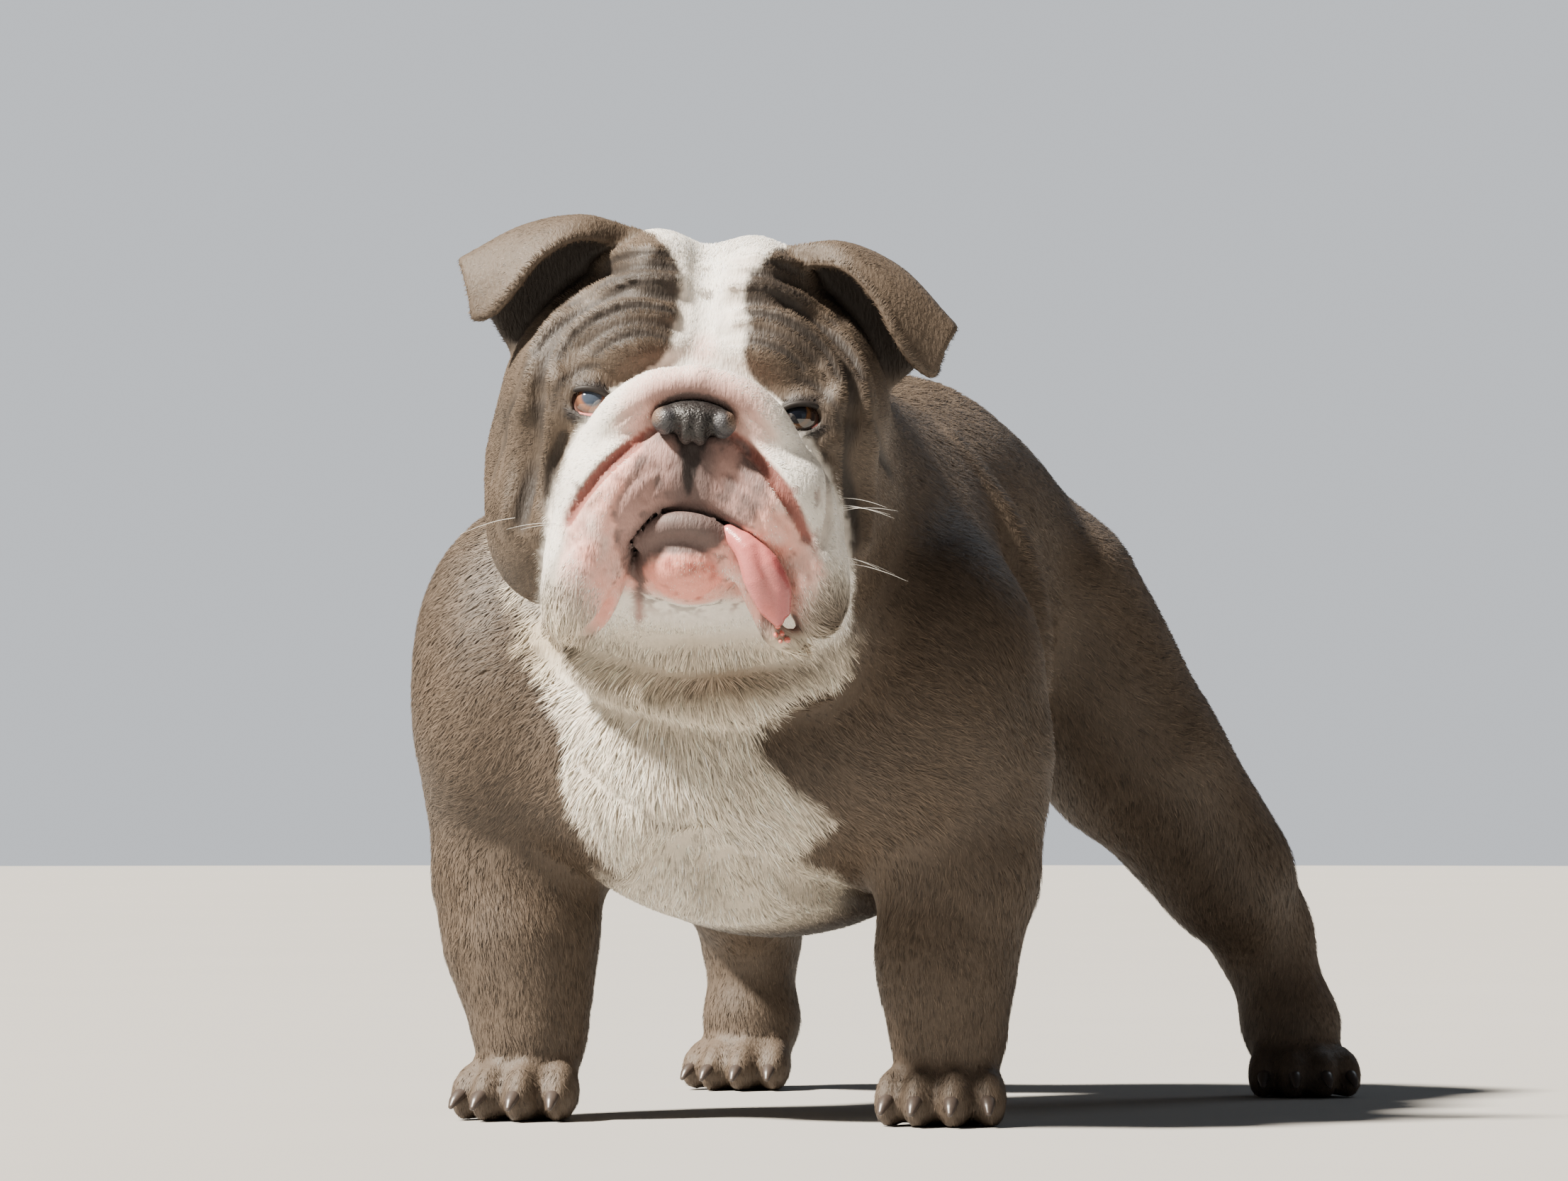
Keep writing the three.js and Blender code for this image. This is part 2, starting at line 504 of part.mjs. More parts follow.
// Thinning: edges are drawn together, cheapest first, until a number of faces is left. The cost of an edge is
// how far the new point stands off the planes it replaces, times the weight of its place.
function thinned({ points, faces }, target, weight = () => 1) {
  const n = points.length / 3;
  const quadrics = new Float64Array(n * 10);
  const around = Array.from({ length: n }, () => new Set());
  const tri = Int32Array.from(faces);
  const alive = new Uint8Array(tri.length / 3).fill(1);
  const normalOf = (a, b, c) => {
    const ux = points[3 * b] - points[3 * a], uy = points[3 * b + 1] - points[3 * a + 1];
    const uz = points[3 * b + 2] - points[3 * a + 2];
    const vx = points[3 * c] - points[3 * a], vy = points[3 * c + 1] - points[3 * a + 1];
    const vz = points[3 * c + 2] - points[3 * a + 2];
    return [uy * vz - uz * vy, uz * vx - ux * vz, ux * vy - uy * vx];
  };
  for (let f = 0; f < alive.length; f++) {
    const [a, b, c] = [tri[3 * f], tri[3 * f + 1], tri[3 * f + 2]];
    const [nx, ny, nz] = normalOf(a, b, c);
    const length = Math.hypot(nx, ny, nz) || 1e-12;
    const [x, y, z] = [nx / length, ny / length, nz / length];
    const d = -(x * points[3 * a] + y * points[3 * a + 1] + z * points[3 * a + 2]);
    const q = [x * x, x * y, x * z, x * d, y * y, y * z, y * d, z * z, z * d, d * d];
    for (const v of [a, b, c]) {
      around[v].add(f);
      for (let i = 0; i < 10; i++) quadrics[10 * v + i] += q[i] * length;
    }
  }
  const stamp = new Int32Array(n);
  const heap = [];
  const push = (item) => {
    let i = heap.length;
    heap.push(item);
    while (i > 0) {
      const up = (i - 1) >> 1;
      if (heap[up].cost <= item.cost) break;
      heap[i] = heap[up];
      i = up;
    }
    heap[i] = item;
  };
  const pop = () => {
    const top = heap[0], item = heap.pop();
    let i = 0;
    while (heap.length > 0) {
      let down = 2 * i + 1;
      if (down >= heap.length) break;
      if (down + 1 < heap.length && heap[down + 1].cost < heap[down].cost) down++;
      if (heap[down].cost >= item.cost) break;
      heap[i] = heap[down];
      i = down;
    }
    if (heap.length > 0) heap[i] = item;
    return top;
  };
  const consider = (a, b) => {
    const q = [];
    for (let i = 0; i < 10; i++) q.push(quadrics[10 * a + i] + quadrics[10 * b + i]);
    const [xx, xy, xz, xd, yy, yz, yd, zz, zd, dd] = q;
    const error = (x, y, z) => x * x * xx + y * y * yy + z * z * zz + dd
      + 2 * (x * y * xy + x * z * xz + y * z * yz + x * xd + y * yd + z * zd);
    const pa = points.slice(3 * a, 3 * a + 3), pb = points.slice(3 * b, 3 * b + 3);
    const middle = pa.map((v, i) => (v + pb[i]) / 2);
    const long = Math.hypot(pa[0] - pb[0], pa[1] - pb[1], pa[2] - pb[2]);
    let best = middle;
    const matrix = new THREE.Matrix3().set(xx, xy, xz, xy, yy, yz, xz, yz, zz);
    const scale = (xx + yy + zz) / 3;
    if (matrix.determinant() > 1e-3 * scale ** 3) {
      const solved = new THREE.Vector3(-xd, -yd, -zd).applyMatrix3(matrix.invert());
      if (Math.hypot(solved.x - middle[0], solved.y - middle[1], solved.z - middle[2]) < long) {
        best = solved.toArray();
      }
    }
    const cost = (Math.max(error(...best), 0) + 1e-3 * long ** 3) * weight(...middle);
    push({ cost, a, b, best, sa: stamp[a], sb: stamp[b] });
  };
  const neighbours = (v) => {
    const set = new Set();
    for (const f of around[v]) for (let i = 0; i < 3; i++) set.add(tri[3 * f + i]);
    set.delete(v);
    return set;
  };
  for (let v = 0; v < n; v++) for (const w of neighbours(v)) if (w > v) consider(v, w);
  let left = alive.length;
  const flips = (v, other, best) => {
    for (const f of around[v]) {
      const ids = [tri[3 * f], tri[3 * f + 1], tri[3 * f + 2]];
      if (ids.includes(other)) continue;
      const old = normalOf(...ids);
      const keep = points.slice(3 * v, 3 * v + 3);
      for (let i = 0; i < 3; i++) points[3 * v + i] = best[i];
      const now = normalOf(...ids);
      for (let i = 0; i < 3; i++) points[3 * v + i] = keep[i];
      const dot = old[0] * now[0] + old[1] * now[1] + old[2] * now[2];
      if (dot < 0.5 * Math.hypot(...old) * Math.hypot(...now)) return true;
    }
    return false;
  };
  while (left > target && heap.length > 0) {
    const { a, b, best, sa, sb } = pop();
    if (stamp[a] !== sa || stamp[b] !== sb) continue;
    const na = neighbours(a), nb = neighbours(b);
    let common = 0;
    for (const v of na) if (nb.has(v)) common++;
    if (common !== 2 || flips(a, b, best) || flips(b, a, best)) continue;
    for (let i = 0; i < 3; i++) points[3 * a + i] = best[i];
    for (let i = 0; i < 10; i++) quadrics[10 * a + i] += quadrics[10 * b + i];
    for (const f of around[b]) {
      const ids = [tri[3 * f], tri[3 * f + 1], tri[3 * f + 2]];
      if (ids.includes(a)) {
        alive[f] = 0;
        left--;
        for (const v of ids) if (v !== b) around[v].delete(f);
      } else {
        for (let i = 0; i < 3; i++) if (tri[3 * f + i] === b) tri[3 * f + i] = a;
        around[a].add(f);
      }
    }
    around[b].clear();
    stamp[b] = -1;
    stamp[a]++;
    for (const v of neighbours(a)) {
      consider(a, v);
    }
  }
  const ids = new Map();
  const outPoints = [];
  const outFaces = [];
  for (let f = 0; f < alive.length; f++) {
    if (!alive[f]) continue;
    for (let i = 0; i < 3; i++) {
      const v = tri[3 * f + i];
      if (!ids.has(v)) {
        ids.set(v, outPoints.length / 3);
        outPoints.push(points[3 * v], points[3 * v + 1], points[3 * v + 2]);
      }
      outFaces.push(ids.get(v));
    }
  }
  return { points: outPoints, faces: outFaces };
}

// From lists of points and faces, or a shape of the library, to a solid
const solidOf = ({ points, faces }) => new Manifold(new Mesh({
  numProp: 3, vertProperties: Float32Array.from(points), triVerts: Uint32Array.from(faces) }));

function solidFrom(geometry, matrix = new THREE.Matrix4()) {
  const position = geometry.clone().applyMatrix4(matrix).attributes.position;
  const index = geometry.index?.array ?? Array.from({ length: position.count }, (_, i) => i);
  const ids = new Map();
  const points = [];
  const faces = [];
  const idOf = (i) => {
    const p = [position.getX(i), position.getY(i), position.getZ(i)];
    const key = p.map((v) => Math.round(v * 1e4)).join();
    if (!ids.has(key)) {
      ids.set(key, points.length / 3);
      points.push(...p);
    }
    return ids.get(key);
  };
  for (let f = 0; f < index.length; f += 3) {
    const face = [idOf(index[f]), idOf(index[f + 1]), idOf(index[f + 2])];
    if (new Set(face).size === 3) faces.push(...face);
  }
  return solidOf({ points, faces });
}

function listsOf(solid) {
  const { vertProperties, triVerts } = solid.getMesh();
  return { points: Array.from(vertProperties), faces: Array.from(triVerts) };
}

// A copy of a solid that is a gap thicker all round, to leave a bed for it in its neighbour
function grown(solid, by = GAP * 1.15) {
  const { points, faces } = listsOf(solid);
  const normals = normalsOf({ points, faces });
  return solidOf({ points: points.map((v, i) => v + by * normals[i]), faces });
}

// Ears: a leaf of skin that rises from the skull along its foot, bends over at the crest and hangs forward to
// its rim. Each line runs from the inner end of the ear to the tip.
const EAR_LINES = {
  left: {
    foot: [[40, 6, 78], [56, 16, 58], [74, 22, 41], [87, 24, 20]],
    crest: [[41, -3, 91], [68, -4, 97], [98, -4, 87], [127, -6, 61]],
    rim: [[44, -9, 88], [70, -22, 87], [89, -28, 71], [101, -30, 52], [117, -24, 30]],
  },
  right: {
    foot: [[-38, 6, 82], [-54, 16, 62], [-72, 22, 45], [-87, 24, 24]],
    crest: [[-39, -3, 95], [-64, -4, 101], [-93, -4, 95], [-123, -6, 77]],
    rim: [[-42, -9, 92], [-66, -22, 93], [-85, -28, 81], [-98, -30, 63], [-113, -24, 42]],
  },
};
const EAR_ALONG = 9;
const EAR_ACROSS = 9;
const EAR_THICKNESS = [5.6, 4.6];

function earLeaf({ foot, crest, rim }) {
  const [footLine, crestLine, rimLine] = [foot, crest, rim].map(
    (line) => new THREE.CatmullRomCurve3(line.map((p) => new THREE.Vector3(...p))));
  const profile = (s) => {
    const [f, c, r] = [footLine, crestLine, rimLine].map((line) => line.getPoint(s));
    const behind = f.clone().lerp(c, 0.6).add(new THREE.Vector3(0, 7, 0));
    const front = c.clone().lerp(r, 0.45).add(new THREE.Vector3(0, -3, 3));
    return new THREE.CatmullRomCurve3([f, behind, c, front, r]);
  };
  const rows = Array.from({ length: EAR_ALONG + 1 }, (_, i) => {
    const s = i / EAR_ALONG;
    const line = profile(s);
    const corner = 0.07 * Math.max(0, (s - 0.8) / 0.2) ** 2;
    return Array.from({ length: EAR_ACROSS + 1 }, (_, j) => line.getPoint((1 - corner) * (j / EAR_ACROSS)));
  });
  const points = [];
  const id = (i, j, layer) => (i * (EAR_ACROSS + 1) + j) * 2 + layer;
  for (let i = 0; i <= EAR_ALONG; i++) {
    for (let j = 0; j <= EAR_ACROSS; j++) {
      const along = rows[Math.min(i + 1, EAR_ALONG)][j].clone().sub(rows[Math.max(i - 1, 0)][j]);
      const across = rows[i][Math.min(j + 1, EAR_ACROSS)].clone().sub(rows[i][Math.max(j - 1, 0)]);
      const out = along.cross(across).normalize();
      const half = mix(EAR_THICKNESS[0], EAR_THICKNESS[1], j / EAR_ACROSS) / 2;
      points.push(...rows[i][j].clone().addScaledVector(out, half).toArray());
      points.push(...rows[i][j].clone().addScaledVector(out, -half).toArray());
    }
  }
  const faces = [];
  const quad = (a, b, c, d) => faces.push(a, b, c, a, c, d);
  for (let i = 0; i < EAR_ALONG; i++) {
    for (let j = 0; j < EAR_ACROSS; j++) {
      quad(id(i, j, 0), id(i + 1, j, 0), id(i + 1, j + 1, 0), id(i, j + 1, 0));
      quad(id(i, j, 1), id(i, j + 1, 1), id(i + 1, j + 1, 1), id(i + 1, j, 1));
    }
    quad(id(i, 0, 0), id(i, 0, 1), id(i + 1, 0, 1), id(i + 1, 0, 0));
    quad(id(i, EAR_ACROSS, 1), id(i, EAR_ACROSS, 0), id(i + 1, EAR_ACROSS, 0), id(i + 1, EAR_ACROSS, 1));
  }
  for (let j = 0; j < EAR_ACROSS; j++) {
    quad(id(0, j, 1), id(0, j, 0), id(0, j + 1, 0), id(0, j + 1, 1));
    quad(id(EAR_ALONG, j, 0), id(EAR_ALONG, j, 1), id(EAR_ALONG, j + 1, 1), id(EAR_ALONG, j + 1, 0));
  }
  return outward({ points, faces });
}

// The same faces, turned over if they look inward
function outward({ points, faces }) {
  let volume = 0;
  for (let f = 0; f < faces.length; f += 3) {
    const [a, b, c] = [0, 1, 2].map((i) => new THREE.Vector3().fromArray(points, 3 * faces[f + i]));
    volume += a.dot(b.cross(c));
  }
  const turned = volume > 0 ? faces : faces.map((_, i) => faces[i - (i % 3) + 2 - (i % 3)]);
  return { points, faces: turned };
}

// Putting lists from the head's frame into the dog's
function fromHead({ points, faces }) {
  const p = new THREE.Vector3();
  const moved = [];
  for (let i = 0; i < points.length; i += 3) {
    moved.push(...p.fromArray(points, i).applyMatrix4(HEAD_FRAME).toArray());
  }
  return { points: moved, faces };
}

// Joining, cutting and naming. What a tool takes off a solid becomes a piece; the rest keeps a gap from it.
const pieces = {};
const biggest = (solid) => solid.decompose().sort((a, b) => b.volume() - a.volume())[0];
function partOff(solid, name, tool) {
  pieces[name] = biggest(solid.intersect(tool));
  return solid.subtract(grown(tool, GAP));
}
const placed = ([x, y, z], scale = [1, 1, 1]) => new THREE.Matrix4().compose(
  new THREE.Vector3(x, y, z), new THREE.Quaternion(), new THREE.Vector3(...scale));
const block = (size, at) => solidFrom(new THREE.BoxGeometry(...size), placed(at));
const oval = (at, radii) => solidFrom(new THREE.IcosahedronGeometry(1, 2), placed(at, radii));

// Where faces matter most: around the eyes, over the muzzle, and in the paws
const FROM_WORLD = HEAD_FRAME.clone().invert();
function headWeight(x, y, z) {
  const p = new THREE.Vector3(x, y, z).applyMatrix4(FROM_WORLD);
  if (p.y > 40) return 0.3;
  const [ex, ey, ez] = EYE_AT;
  const toEye = Math.hypot(Math.abs(p.x) - ex, p.y - ey + EYE_RADIUS, p.z - ez);
  return (p.y < -30 ? 3 : 1) + 12 * Math.exp(-((toEye / 22) ** 2));
}
const bodyWeight = (x, y, z) => (z < 42 ? 5 : z < 110 ? 2 : 1);

const meshed = (low, high, step) => evened(surfaceOf(dogField, low, high, step), dogField, step);
const rawHead = meshed([-145, -215, 205], [155, 50, 480], HEAD_STEP);
const rawBody = meshed([-235, -150, -8], [285, 490, 440], BODY_STEP);
let head = solidOf(thinned(rawHead, HEAD_FACES, headWeight));
let body = solidOf(thinned(rawBody, BODY_FACES, bodyWeight));

// The head is kept inside a rounded space, cut level under the flews
const moved = (solid) => solidOf(fromHead(listsOf(solid)));
const headSpace = moved(oval([0, -40, 20], [128, 150, 160]).intersect(block([600, 600, 400], [0, 0, 82])));
head = biggest(head.intersect(headSpace));
body = body.subtract(grown(headSpace, GAP));

// Small pieces bedded in the head
function bedded(forms, step, faces, low, high) {
  const field = fieldOf(forms);
  return solidOf(fromHead(thinned(evened(surfaceOf(field, low, high, step), field, step), faces)));
}
pieces.lower_jaw = bedded(jawForms(), JAW_STEP, 400, [-50, -110, -125], [80, 5, -35]);
pieces.nose = bedded(noseForms(), NOSE_STEP, 600, [-30, -115, -25], [30, -65, 20]);
const tongue = bedded(tongueForms(), NOSE_STEP, 200, [10, -105, -112], [65, -60, -40]);
for (const [name, side] of SIDES) {
  const [x, y, z] = EYE_AT;
  pieces[`eye_${name}`] = moved(oval([side * x, y, z], [EYE_RADIUS, EYE_RADIUS, EYE_RADIUS]));
  head = head.subtract(grown(pieces[`eye_${name}`]));
}
head = biggest(head.subtract(grown(pieces.nose)).subtract(grown(pieces.lower_jaw)));
pieces.head = head;
pieces.tongue = biggest(tongue.subtract(grown(head)).subtract(grown(pieces.lower_jaw)));
for (const [name] of SIDES) {
  const leaf = solidOf(fromHead(earLeaf(EAR_LINES[name])));
  pieces[`ear_${name}`] = biggest(leaf.subtract(grown(head)).subtract(grown(body)));
}

// The body: soles cut flat, then parted
const BIG = 900;
body = body.subtract(block([BIG, BIG, 100], [0, 0, -50]));
body = partOff(body, 'neck', oval([8, -75, 325], [100, 122, 125]));
body = partOff(body, 'tail', block([46, 60, 96], [40, 436, 276]));
for (const [name, side] of SIDES) {
  const x = side * 122;
  body = partOff(body, `fore_${name}_paw`, block([120, 140, 80], [x, -10, 2]));
  body = partOff(body, `fore_${name}_forearm`, block([120, 200, 120], [x + side * 8, 10, 50]));
  body = partOff(body, `fore_${name}_shoulder`, oval([x + side * 8, 10, 198], [78, 92, 100]));
  const [px, py] = side > 0 ? HIND_LEFT.paw : HIND_RIGHT.paw;
  body = partOff(body, `hind_${name}_paw`, block([120, 130, 80], [px, py, 2]));
  body = partOff(body, `hind_${name}_thigh`, oval([side * 106 + 16, 345, 224], [94, 110, 104]));
  body = partOff(body, `hind_${name}_shank`, block([170, 220, 180], [side * 150 + 20, 428, 130]));
}
body = partOff(body, 'hindquarters', block([400, 300, 500], [0, 425, 260]));
pieces.torso = biggest(body);

// Claws: a short cone at the end of each toe, pointing forward and down, clear of the floor
const CLAW = { radius: 4.2, length: 13, back: 10, height: 11, dip: 28 };
const cone = new THREE.ConeGeometry(CLAW.radius, CLAW.length, 6).rotateX(radians(90 + CLAW.dip));
for (const [leg, { paw, turn, size }] of Object.entries(LEGS)) {
  TOES.forEach(([x, y], i) => {
    const toe = placed([size * x * 1.05, size * (y - CLAW.back) - 8, size * CLAW.height], [size, size, size]);
    const stand = new THREE.Matrix4().makeTranslation(paw[0], paw[1], 0)
      .multiply(new THREE.Matrix4().makeRotationZ(radians(turn)));
    const claw = solidFrom(cone, stand.multiply(toe));
    pieces[`${leg}_claw_${i + 1}`] = biggest(claw.subtract(grown(pieces[`${leg}_paw`])));
  });
}

// Colours of the lit coat, white hair, pink skin, nose leather, tongue, eyes and horn
const COAT = { color: 0x83776d, roughness: 0.85 };
const WHITE = { color: 0xe4dbcf, roughness: 0.85 };
const LOOKS = [
  [/claw/, { color: 0x3d3531, roughness: 0.45 }],
  [/eye/, { color: 0x2e211a, roughness: 0.08 }],
  [/nose/, { color: 0x2a2728, roughness: 0.4 }],
  [/tongue/, { color: 0xd98488, roughness: 0.35 }],
  [/jaw/, { color: 0xc79a91, roughness: 0.7 }],
  [/neck/, WHITE],
  [/./, COAT],
];

const group = new THREE.Group();
for (const [name, solid] of Object.entries(pieces)) {
  const { points, faces } = listsOf(solid);
  const geometry = new THREE.BufferGeometry();
  geometry.setAttribute('position', new THREE.Float32BufferAttribute(points, 3));
  geometry.setIndex(faces);
  const [, look] = LOOKS.find(([pattern]) => pattern.test(name));
  const mesh = new THREE.Mesh(geometry, new THREE.MeshStandardMaterial({ metalness: 0, ...look }));
  mesh.name = name;
  group.add(mesh);
}
const box = new THREE.Box3().setFromObject(group);
const middle = box.getCenter(new THREE.Vector3());
for (const mesh of group.children) mesh.geometry.translate(-middle.x, -middle.y, 0);

export default group;
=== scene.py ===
# %% [markdown]
# # An English bulldog
#
# A life-size model of a dog standing on a floor. The solid model gives every region its size and place. Here each
# region gets its surface: one skin over the whole body, a short coat of fine blades, wet eyes, leather, horn.
# The skin is worked out from the same rounded forms as the solids, so it lies inside them all over.

# %% Frame
from collections import namedtuple
import bpy
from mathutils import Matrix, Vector
import numpy as np


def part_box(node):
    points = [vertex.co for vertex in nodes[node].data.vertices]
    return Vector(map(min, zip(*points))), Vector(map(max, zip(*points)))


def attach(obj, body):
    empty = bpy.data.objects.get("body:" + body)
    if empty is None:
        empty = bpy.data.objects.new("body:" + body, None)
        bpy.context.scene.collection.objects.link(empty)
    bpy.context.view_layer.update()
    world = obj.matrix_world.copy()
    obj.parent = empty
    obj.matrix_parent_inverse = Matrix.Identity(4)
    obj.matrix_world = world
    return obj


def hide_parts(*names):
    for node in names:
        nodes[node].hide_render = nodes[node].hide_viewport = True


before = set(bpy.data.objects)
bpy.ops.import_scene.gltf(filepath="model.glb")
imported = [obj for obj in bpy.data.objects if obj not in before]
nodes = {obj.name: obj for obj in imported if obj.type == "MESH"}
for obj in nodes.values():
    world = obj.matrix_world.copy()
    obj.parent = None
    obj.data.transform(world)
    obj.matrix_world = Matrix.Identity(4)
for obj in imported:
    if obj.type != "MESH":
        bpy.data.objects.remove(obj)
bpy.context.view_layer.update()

# %% [markdown]
# ## Rounded forms
#
# A dog's body has no edges to draw, only bones, muscles and loose skin that run into each other. Each of them can
# be written as a distance: how far a point in space is from its surface, negative inside. Two distances are joined
# softly by rounding off the lower of the two where they are close. This gives flowing flesh with few numbers, where
# a sculpted mesh would need thousands. Sizes here are in millimetres, with x to the dog's left, y backward, z up.

# %% Distances of the basic forms
Form = namedtuple("Form", "distance k centre reach cuts")


def join(a, b, k):
    """Lower of two distances, rounded off over a width k: min(a, b) less h * h * k / 4, h = 1 - |a - b| / k."""
    h = np.maximum(k - np.abs(a - b), 0) / k
    return np.minimum(a, b) - h * h * k * 0.25


def carve(a, b, k):
    """Distance a with b taken out of it, rounded off over a width k."""
    return -join(-a, b, k)


def turning(turn):
    """Rotation matrix that turns about X, then Y, then Z, by angles in degrees."""
    (cx, cy, cz), (sx, sy, sz) = np.cos(np.radians(turn)), np.sin(np.radians(turn))
    about_x = np.array([[1, 0, 0], [0, cx, -sx], [0, sx, cx]])
    about_y = np.array([[cy, 0, sy], [0, 1, 0], [-sy, 0, cy]])
    about_z = np.array([[cz, -sz, 0], [sz, cz, 0], [0, 0, 1]])
    return about_z @ about_y @ about_x


def ball(at, radii, k, turn=(0, 0, 0)):
    """Ellipsoid: with n = |local / radii| and s = |local / radii^2|, the distance is about n (n - 1) / s."""
    at, radii, matrix = np.array(at, float), np.array(radii, float), turning(turn)

    def distance(p):
        local = (p - at) @ matrix
        near = np.sqrt(((local / radii) ** 2).sum(1))
        slope = np.sqrt(((local / radii ** 2) ** 2).sum(1))
        return np.where(near < 1e-6, -radii.min(), near * (near - 1) / np.maximum(slope, 1e-9))

    return Form(distance, k, at, radii.max(), False)


def limb_distance(p, a, b):
    """Distance from a round limb: from the nearest point of the line a-b, less the radius there."""
    along = b[:3] - a[:3]
    t = np.clip(((p - a[:3]) @ along) / (along @ along), 0, 1)
    away = p - a[:3] - t[:, None] * along
    return np.sqrt((away * away).sum(1)) - (a[3] + (b[3] - a[3]) * t)


def limb(a, b, k):
    a, b = np.array(a, float), np.array(b, float)
    reach = np.linalg.norm(b[:3] - a[:3]) / 2 + max(a[3], b[3])
    return Form(lambda p: limb_distance(p, a, b), k, (a[:3] + b[:3]) / 2, reach, False)


def chain(points, k):
    """Limbs from each point [x, y, z, radius] to the next."""
    return [limb(a, b, k) for a, b in zip(points, points[1:])]


def curve_points(points, t):
    """Points at t in 0..1 of a smooth curve through given points: on each span a cubic c0 + c1 u + c2 u^2 + c3 u^3,
    with end slopes from the neighbours, weighted by the square root of their spacing."""
    points = np.asarray(points, float)
    ends = np.vstack([2 * points[0] - points[1], points, 2 * points[-1] - points[-2]])
    s = np.asarray(t, float) * (len(points) - 1)
    i = np.minimum(s.astype(int), len(points) - 2)
    u = (s - i)[:, None]
    p0, p1, p2, p3 = ends[i], ends[i + 1], ends[i + 2], ends[i + 3]
    d0, d1, d2 = [np.sqrt(np.linalg.norm(b - a, axis=1))[:, None] for a, b in ((p0, p1), (p1, p2), (p2, p3))]
    m1 = ((p1 - p0) / d0 - (p2 - p0) / (d0 + d1) + (p2 - p1) / d1) * d1
    m2 = ((p2 - p1) / d1 - (p3 - p1) / (d1 + d2) + (p3 - p2) / d2) * d1
    return p1 + m1 * u + (3 * (p2 - p1) - 2 * m1 - m2) * u ** 2 + (2 * (p1 - p2) + m1 + m2) * u ** 3


def rope(points, k, steps=4):
    """Soft rope along a smooth curve through points [x, y, z, radius]: the least distance of its short limbs."""
    points = np.array(points, float)
    s = np.linspace(0, 1, (len(points) - 1) * steps + 1)
    radius = np.interp(s, np.linspace(0, 1, len(points)), points[:, 3])
    knots = np.column_stack([curve_points(points[:, :3], s), radius])
    middle = (knots[:, :3].min(0) + knots[:, :3].max(0)) / 2
    reach = np.linalg.norm(knots[:, :3] - middle, axis=1).max() + points[:, 3].max()

    def distance(p):
        return np.min([limb_distance(p, a, b) for a, b in zip(knots, knots[1:])], axis=0)

    return Form(distance, k, middle, reach, False)


def cut(form):
    """The same form, taken out instead of added."""
    return form._replace(cuts=True)


FAR_AWAY = 1e3
CUT_MARGIN = 8


def field_of(forms):
    """Joined distance of a list of forms, taken in order. A form too far away to matter is passed over."""
    def distance(p):
        d = np.full(len(p), FAR_AWAY)
        if not len(p):
            return d
        middle = p.mean(0)
        spread = np.linalg.norm(p - middle, axis=1).max()
        for form in forms:
            nearest = np.linalg.norm(middle - form.centre) - spread - form.reach
            if nearest > (form.k + CUT_MARGIN if form.cuts else 2 * (d.max() + form.k)):
                continue
            away = np.linalg.norm(p - form.centre, axis=1) - form.reach
            if form.cuts:
                pick = np.flatnonzero((away < form.k - d) & (away < form.k + CUT_MARGIN))
            else:
                pick = np.flatnonzero(away * 0.5 < d + form.k)
            if len(pick):
                blend = carve if form.cuts else join
                d[pick] = blend(d[pick], form.distance(p[pick]), form.k)
        return d
    return distance


def sampled(field, p, size=64.0):
    """A field at many points, worked out cube by cube, so that far forms are passed over for a whole cube."""
    i, j, k = (np.floor(p / size).astype(np.int64) + 64).T
    key = (i * 256 + j) * 256 + k
    order = np.argsort(key, kind="stable")
    out = np.empty(len(p))
    for part in np.split(order, np.flatnonzero(np.diff(key[order])) + 1):
        out[part] = field(p[part])
    return out


print("a ball of radius 10 at 25 mm:", ball((0, 0, 0), (10, 10, 10), 1).distance(np.array([[25.0, 0, 0]])))

# %% [markdown]
# ## The dog's forms
#
# These are the same named sizes as in the solid model: trunk, neck, legs, skull, and the loose skin of the face.
# Folds of the face are ropes laid on the skull, a little sunk in, and the creases between them are ropes taken out.
# A bulldog's face could be painted on a plain ball with a bump map, but its folds are centimetres deep, and they
# throw real shadows, so they are shape.

# %% Head: where it is held, and the muscles and bones of trunk and neck
HEAD_AT = np.array([7, -87, 361.0])
HEAD_YAW = 17.5
HEAD_ROLL = 4
EYE_RADIUS = 12
EYE_AT = np.array([53, -49, 4.5])
MIDLINE_FRONT = -14
MIDLINE_DRIFT = 0.13
HEAD_TURN = turning((0, 0, HEAD_YAW)) @ turning((0, HEAD_ROLL, 0))


def to_head(p):
    return (p - HEAD_AT) @ HEAD_TURN


def from_head(p):
    return np.asarray(p, float) @ HEAD_TURN.T + HEAD_AT


def eye_at(side):
    return EYE_AT * (side, 1, 1)


def midline(y):
    """The trunk stands a little askew to the row's own axis: x of its middle at y."""
    return MIDLINE_FRONT + MIDLINE_DRIFT * y


def mirrored(side, points):
    """Points [x, ...] as they are for side 1, and with x turned over for side -1."""
    return [[side * x, *rest] for x, *rest in points]


FLANK_FOLDS = [
    [[88, 98, 356, 10], [112, 104, 318, 15], [126, 106, 272, 18], [128, 104, 228, 17], [118, 98, 182, 12]],
    [[84, 142, 350, 10], [106, 146, 312, 14], [116, 148, 270, 16], [116, 144, 226, 14], [104, 136, 186, 10]],
]
FOLD_DEPTH = {1: 0, -1: 7}
SPINE = [[50, 298, 76], [120, 298, 74], [175, 307, 75], [232, 315, 77], [292, 298, 73], [334, 270, 63]]


